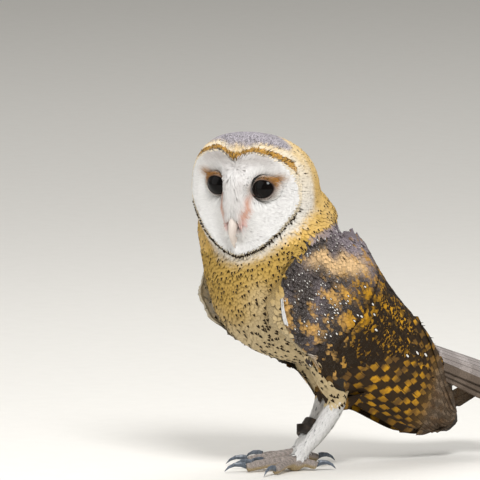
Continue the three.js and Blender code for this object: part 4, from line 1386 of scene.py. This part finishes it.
class OWL_OT_wings(Feathering, bpy.types.Operator):
    """Lay the coverts of both wings in rows, and the long flight feathers under them"""

    bl_idname = "owl.wings"
    bl_label = "Wings"

    def execute(self, context):
        s = sizes()
        at, rng = self.roots(["wing"], 2.0 * MM, s.seed + 5)
        station, x, height = body_place(at.points)
        angle = round_body(x, height)
        # The coverts end in a slanting line over the flight feathers.
        last = 165 + 0.75 * (angle + 25)
        keep = (station < np.where(angle > 15, 232, last)) & (rng.random(len(x)) < 1.35 - station / 300)
        keep = keep & ((angle > wing_edge(station) - 1) | (station > 125))
        at = some(at, keep)
        station, x, angle = station[keep], x[keep], angle[keep]
        fall = np.array([[0.0, -0.1, -0.2]]) * ease(-angle, 0, 60)[:, None]
        ways = unit(body_flow(at.points) + fall + rng.normal(0, 0.05, at.points.shape))
        grown = (5.5 + 6.5 * ease(station, 60, 175)) * MM * rng.uniform(0.9, 1.1, len(x))
        outward = at.normals[:, 0] * np.sign(x) > -0.1
        tint, tip, mark = self.tints(at, ways, grown, 0.14, rng)
        mark[:, 1] *= rng.random(len(mark)) < 0.19 - 0.175 * ease(station, 92, 126)
        mark[:, 0] *= rng.random(len(mark)) < 0.16
        bright = mark[:, 1] > 0.1
        at.high = at.depth * (0.9 + 0.25 * bright)
        at.grown = grown * (1 + 0.35 * bright)
        at.ways, at.tint, at.tip, at.mark = ways, tint, tip, mark
        for side, name in ((1, "left"), (-1, "right")):
            mine = (x * side > 0) & (outward | (station < 110) | (angle < 40))
            coat = Coat(f"coat_coverts_{name}")
            part = some(at, mine)
            coat.lay(leaf_shape(6, 5), part, part.ways, part.grown, part.grown * 0.6, part.tint,
                     part.mark, high=part.high, lift=0.01, camber=0.12,
                     roll=rng.normal(0, 0.05, mine.sum()), tip_tint=part.tip)
            self.edge(coat, side)
            coat.made(plumage(f"{name} coverts", shadow=0.6, rim=0.4), "plumage_slate")
            self.flight(side, name)
        return {"FINISHED"}

    def edge(self, coat, side):
        """Small white feathers along the folded wing's front edge."""
        rng = np.random.default_rng(sizes().seed + 12)
        disc = np.array(paints().disc)
        for row, offset in enumerate((-1.6, -0.4) if side > 0 else (-0.6,)):
            station = np.linspace(68, 132 if side > 0 else 100, 64)
            angle = np.radians(wing_edge(station) + offset)
            spots, out = on_body(station, angle, side)
            spots = evened_rows(spots[None], 40)[0]
            ways = unit(np.gradient(spots, axis=0))
            count = len(spots)
            fade = ease(station, 104, 128)
            tint = uneven(mix(disc * 0.93, (0.45, 0.30, 0.14), 0.8 * fade), 0.9, 1.05, rng)
            uv = SKIN["triangle_uv"][skin_at(spots)[2]].mean(axis=1)
            slim = 0.4 + 0.6 * ease(station, 66, 80) * wane(station, 92, 130)
            at = SimpleNamespace(points=spots, normals=out, uv=uv)
            coat.lay(leaf_shape(5, 3), at, ways, 6.5 * MM, 2.2 * MM * slim, tint, np.zeros((count, 4)),
                     high=(2.6 - 0.3 * row + 1.3 * ease(station, 84, 104)) * MM, hug=False, camber=0.2)

    def flight(self, side, name):
        """The stack of long feathers along the wing's lower edge, out to its tip."""
        c = paints()
        rng = np.random.default_rng(sizes().seed + 11)
        coat = Coat(f"flight_{name}")
        rows, count = 38, 16
        rank = np.linspace(0, 1.4, count)
        paths, normals, stations = [], [], []
        for t in rank:
            station = np.linspace(146 + 30 * t, 293 - 7 * t, rows)
            along = np.linspace(0, 1, rows)
            angle = np.radians((1 - along) * (-66 + 92 * t) + along * (-62 + 66 * t))
            spots, out = on_body(station, angle, side)
            paths.append(spots + out * (0.9 + 0.5 * t) * MM)
            normals.append(out)
            stations.append(station)
        paths = evened_rows(np.array(paths), 6)
        normals = unit(evened_rows(np.array(normals), 8))
        columns = 7
        stations = np.repeat(np.array(stations)[:, :, None], columns, axis=2)
        upper = np.broadcast_to(rank[:, None, None], stations.shape)
        brown = np.array(c.slate) * np.array([1.4, 1.2, 0.85])
        grey = np.clip(ease(stations + 24 * upper, 250, 278), 0, 1)
        tint = mix(np.array(c.orange), brown, grey)
        places_there = np.repeat(paths[:, :, None], columns, axis=2).reshape(-1, 3)
        cloud = wavy(places_there, 0.016, 9) + 0.6 * wavy(places_there, 0.006, 10)
        burnt = ease(cloud.reshape(stations.shape) + 0.9 * np.clip(upper - 0.25, 0, 1), -0.1, 0.9)
        roots = wane(stations + 60 * upper, 172, 200) * wane(upper, 0.5, 0.9)
        burnt = np.maximum(burnt, roots)
        tint = mix(tint, (0.085, 0.05, 0.02), 0.9 * burnt * (1 - grey))
        tint = tint * rng.uniform(0.8, 1.2, (count, 1, 1, 1))
        strength = 0.97 - 0.5 * grey
        mark = np.stack([
            np.broadcast_to(self.phases(count, rng)[:, None, None], stations.shape),
            np.broadcast_to((0.36 + 0.05 * rank)[:, None, None], stations.shape),
            strength,
            0.15 + 0.6 * grey,
        ], axis=-1)
        long_feathers(coat, paths, normals, np.full(count, 9.0 * MM), np.full(count, 0.14 * side),
                      tint.reshape(-1, 3), mark.reshape(-1, 4))
        coat.made(flight_plumage(f"{name} flight feathers"), "plumage_slate")

    @staticmethod
    def phases(count, rng):
        """Bars on one feather meet the gaps of the next, more or less."""
        return np.arange(count) * 0.5 + rng.uniform(-0.16, 0.16, count)


class OWL_OT_tail(Feathering, bpy.types.Operator):
    """Lay the long tail feathers and the coverts over their roots"""

    bl_idname = "owl.tail"
    bl_label = "Tail"

    def execute(self, context):
        coat = Coat("tail_feathers")
        rows, count = 26, 16
        slope = math.radians(19)
        paths, normals = [], []
        for k in range(count):
            t = 1.5 * (2 * k / (count - 1) - 1)
            v = np.linspace(0, 1, rows)
            away = v * (137 - 4 * t * t)
            sideways = np.clip(t, -1, 1) * (12 + 20 * v**0.8)
            drop = -17 * (0.6 + 0.4 * v) * (sideways / (15 + 21 * v**0.8)) ** 2
            drop = drop - 26 * max(abs(t) - 1, 0) * v
            rise = 2.2 - 1.4 * abs(t)
            y = 76 + away * math.cos(slope) + (drop + rise) * math.sin(slope)
            z = 117.5 - away * math.sin(slope) + (drop + rise) * math.cos(slope)
            paths.append((np.column_stack([sideways, y, z]) + STANCE) * MM)
            lean = math.atan(-34 * t / 36)
            level = math.cos(lean)
            normal = [-math.sin(lean), math.sin(slope) * level, math.cos(slope) * level]
            normals.append(np.tile(normal, (rows, 1)))
        # Painted shade: the outer tail feathers, which droop down at the sides, are tinted dark brown.
        outer = ease(np.abs(np.linspace(-1.5, 1.5, count)), 0.8, 1.1)
        tint = mix((0.47, 0.42, 0.40), (0.17, 0.13, 0.10), outer)
        mark = np.tile([0.1, 0.25, 0.25, 0.4], (count, 1))
        turn = -0.10 * np.sign(np.linspace(-1, 1, count))
        long_feathers(coat, np.array(paths), np.array(normals), np.full(count, 7.5 * MM), turn,
                      tint, mark)
        coat.made(flight_plumage("tail feathers", stain=0.0), "plumage_tail")

        over = Coat("coat_tail")
        at, rng = self.roots(["tail"], 4.0 * MM, sizes().seed + 6)
        at = some(at, at.points[:, 1] / MM - STANCE[1] < 135)
        tint, mark = markings(at.points, at.normals, at.zone)
        tint = uneven(tint, 0.85, 1.12, rng)
        ways = np.tile([0.0, math.cos(slope), -math.sin(slope)], (len(tint), 1))
        over.lay(fan_shape(7, 4), at, ways, 15 * MM, 8 * MM, tint, mark, high=2.4 * MM)
        over.made(plumage("tail coverts"), "plumage_tail")
        return {"FINISHED"}


class OWL_OT_legs(Feathering, bpy.types.Operator):
    """Lay the white down of the shanks"""

    bl_idname = "owl.legs"
    bl_label = "Legs"

    def execute(self, context):
        coat = Coat("coat_legs")
        at, rng = self.roots(["tarsus"], 1.05 * MM, sizes().seed + 8)
        tint, mark = markings(at.points, at.normals, at.zone)
        tint = uneven(tint, 0.94, 1.05, rng)
        tint[rng.random(len(tint)) < 0.03] *= 0.45
        ways = np.tile([0.0, -0.35, -1.0], (len(tint), 1)) + rng.normal(0, 0.12, at.points.shape)
        coat.lay(lock_shape(4), at, ways, 4.6 * MM, 1.8 * MM, tint, mark,
                 high=at.depth * rng.uniform(0.8, 1.1, len(tint)), camber=0.1)
        coat.made(plumage("leg down", shadow=0.9), "plumage_white")
        return {"FINISHED"}


# ------------------------------------------------------------------ eyes, horn and leather
class OWL_OT_eyes(bpy.types.Operator):
    """Make the two dark, glossy eyes"""

    bl_idname = "owl.eyes"
    bl_label = "Eyes"

    def execute(self, context):
        finish = eye_finish()
        for side, name in ((1, "left"), (-1, "right")):
            mesh = bpy.data.meshes.new(f"eyeball_{name}")
            ball = bmesh.new()
            bmesh.ops.create_uvsphere(ball, u_segments=64, v_segments=40, radius=EYE_RADIUS)
            for corner in ball.verts:
                x, y, z = corner.co
                swell = 1 + 0.06 * math.exp(-((x * x + z * z) / 40)) * (y < 0)
                place = Vector((
                    x + side * EYE_PLACE[0] + GLANCE,
                    y * EYE_DEPTH * swell + EYE_PLACE[1],
                    z * EYE_HEIGHT + EYE_PLACE[2],
                ))
                corner.co = (HEAD_PLACE @ place + Vector(STANCE)) * MM
            ball.to_mesh(mesh)
            ball.free()
            mesh.materials.append(finish)
            mesh.shade_smooth()
            piece = linked(f"eyeball_{name}", mesh)
            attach(piece, "root")
            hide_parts(f"eye_{name}")
        return {"FINISHED"}


class OWL_OT_bill(bpy.types.Operator):
    """Make the bill with its horn"""

    bl_idname = "owl.bill"
    bl_label = "Bill"

    def execute(self, context):
        c = paints()
        horn = horn_finish("horn", np.array(c.horn) * 0.8, c.horn, 500.0, 0.28)
        for node in ("bill_upper", "bill_lower"):
            piece = remeshed(f"{node}_horn", [node], 0.4 * MM)
            mesh = piece.data
            local = head_place(evened(places(mesh), edge_pairs(mesh), 0.5, 6))
            local[:, 0] *= 0.84
            local[:, 1] += 1.6
            set_places(mesh, from_head(local))
            mesh.shade_smooth()
            mesh.materials.append(horn)
            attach(piece, "root")
            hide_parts(node)
        return {"FINISHED"}


class OWL_OT_claws(bpy.types.Operator):
    """Make the claws with their dark polished horn"""

    bl_idname = "owl.claws"
    bl_label = "Claws"

    def execute(self, context):
        c = paints()
        horn = horn_finish("claw horn", c.claws, np.array(c.claws) * 3.0, 700.0, 0.22)
        for side in ("left", "right"):
            for toe in ("inner", "middle", "outer", "hind"):
                node = f"claw_{side}_{toe}"
                piece = remeshed(f"{node}_horn", [node], 0.35 * MM)
                mesh = piece.data
                set_places(mesh, evened(places(mesh), edge_pairs(mesh), 0.4, 4))
                mesh.shade_smooth()
                mesh.materials.append(horn)
                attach(piece, "root")
                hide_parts(node)
        return {"FINISHED"}


class OWL_OT_anklet(bpy.types.Operator):
    """Make the leather anklet on the right leg"""

    bl_idname = "owl.anklet"
    bl_label = "Anklet"

    def execute(self, context):
        piece = remeshed("anklet_leather", ["anklet_right"], 0.5 * MM)
        mesh = piece.data
        set_places(mesh, evened(places(mesh), edge_pairs(mesh), 0.5, 4))
        mesh.shade_smooth()
        mesh.materials.append(leather_finish())
        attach(piece, "root")
        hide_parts("anklet_right")
        return {"FINISHED"}


# ------------------------------------------------------------------ stage
class OWL_OT_stage(bpy.types.Operator):
    """Make the pale floor, the lamps and the camera"""

    bl_idname = "owl.stage"
    bl_label = "Stage"

    def execute(self, context):
        context.scene.view_settings.view_transform = "Standard"
        self.floor()
        self.lamps()
        self.camera()
        return {"FINISHED"}

    def floor(self):
        mesh = bpy.data.meshes.new("floor")
        plane = bmesh.new()
        bmesh.ops.create_grid(plane, x_segments=1, y_segments=1, size=6.0)
        plane.to_mesh(mesh)
        plane.free()
        n = Nodes("floor")
        grain = n.noise(60.0, 3.0, n.here())
        shown = n.blend(grain, (0.80, 0.78, 0.74, 1), (0.84, 0.82, 0.78, 1))
        mesh.materials.append(n.finish(shown, 0.9, specular=0.1))
        linked("floor", mesh)
        world = bpy.data.worlds.new("studio")
        world.use_nodes = True
        back = world.node_tree.nodes["Background"]
        back.inputs["Color"].default_value = (0.80, 0.79, 0.76, 1)
        back.inputs["Strength"].default_value = 0.42
        bpy.context.scene.world = world

    def lamp(self, name, size, power):
        light = bpy.data.lights.new(name, "AREA")
        light.size = size
        light.energy = power
        return linked(name, light)

    def lamps(self):
        aim = Vector((0.0, -0.01, 0.17))
        for name, azimuth, height, size, power in (
            ("key", 66, 45, 0.5, 22.0), ("fill", 350, 25, 1.6, 8.0), ("top", 230, 60, 1.2, 8.0),
        ):
            lamp = self.lamp(name, size, power)
            a, e = math.radians(azimuth), math.radians(height)
            way = Vector((math.sin(a) * math.cos(e), -math.cos(a) * math.cos(e), math.sin(e)))
            lamp.location = aim + way * 1.6
            lamp.rotation_euler = way.to_track_quat("Z", "Y").to_euler()
        lamp = self.lamp("backdrop", 3.0, 26.0)
        away = math.radians(VIEW_TURN + 180)
        lamp.location = Vector((math.sin(away) * 2.2, -math.cos(away) * 2.2, 2.4))

    def camera(self):
        azimuth, elevation = math.radians(VIEW_TURN), math.radians(VIEW_RISE)
        right = Vector((math.cos(azimuth), math.sin(azimuth), 0.0))
        back = Vector((math.sin(azimuth) * math.cos(elevation),
                       -math.cos(azimuth) * math.cos(elevation), math.sin(elevation)))
        up = back.cross(right)
        aim = (right * -39.5 + up * 191.5 + Vector(STANCE)) * MM
        far, film, width = 9.0, 36.0, 0.4032
        data = bpy.data.cameras.new("camera")
        data.sensor_width = film
        data.lens = film * far / width
        data.clip_end = 60.0
        camera = linked("camera", data)
        turn = Matrix((right, up, back)).transposed()
        camera.matrix_world = Matrix.LocRotScale(aim + back * far, turn.to_quaternion(), None)
        bpy.context.scene.camera = camera


# ------------------------------------------------------------------ add-on
OPERATORS = (
    OWL_OT_skin, OWL_OT_face, OWL_OT_head, OWL_OT_body, OWL_OT_wings, OWL_OT_tail, OWL_OT_legs,
    OWL_OT_eyes, OWL_OT_bill, OWL_OT_claws, OWL_OT_anklet, OWL_OT_stage,
)


class OWL_PT_panel(bpy.types.Panel):
    """Lists the owl's sizes, colours and pieces"""

    bl_idname = "OWL_PT_panel"
    bl_label = "Barn owl"
    bl_space_type = "VIEW_3D"
    bl_region_type = "UI"
    bl_category = "Owl"

    def draw(self, context):
        for group in (context.scene.owl_sizes, context.scene.owl_colours):
            box = self.layout.box()
            for name in group.__annotations__:
                box.prop(group, name)
        for operator in OPERATORS:
            self.layout.operator(operator.bl_idname)


CLASSES = (OwlSizes, OwlColours, *OPERATORS, OWL_PT_panel)


def register():
    for group in CLASSES:
        bpy.utils.register_class(group)
    bpy.types.Scene.owl_sizes = PointerProperty(type=OwlSizes)
    bpy.types.Scene.owl_colours = PointerProperty(type=OwlColours)


def unregister():
    del bpy.types.Scene.owl_colours
    del bpy.types.Scene.owl_sizes
    for group in reversed(CLASSES):
        bpy.utils.unregister_class(group)


def main():
    register()
    for operator in OPERATORS:
        getattr(bpy.ops.owl, operator.bl_idname.split(".")[1])()


if __name__ == "__main__":
    main()
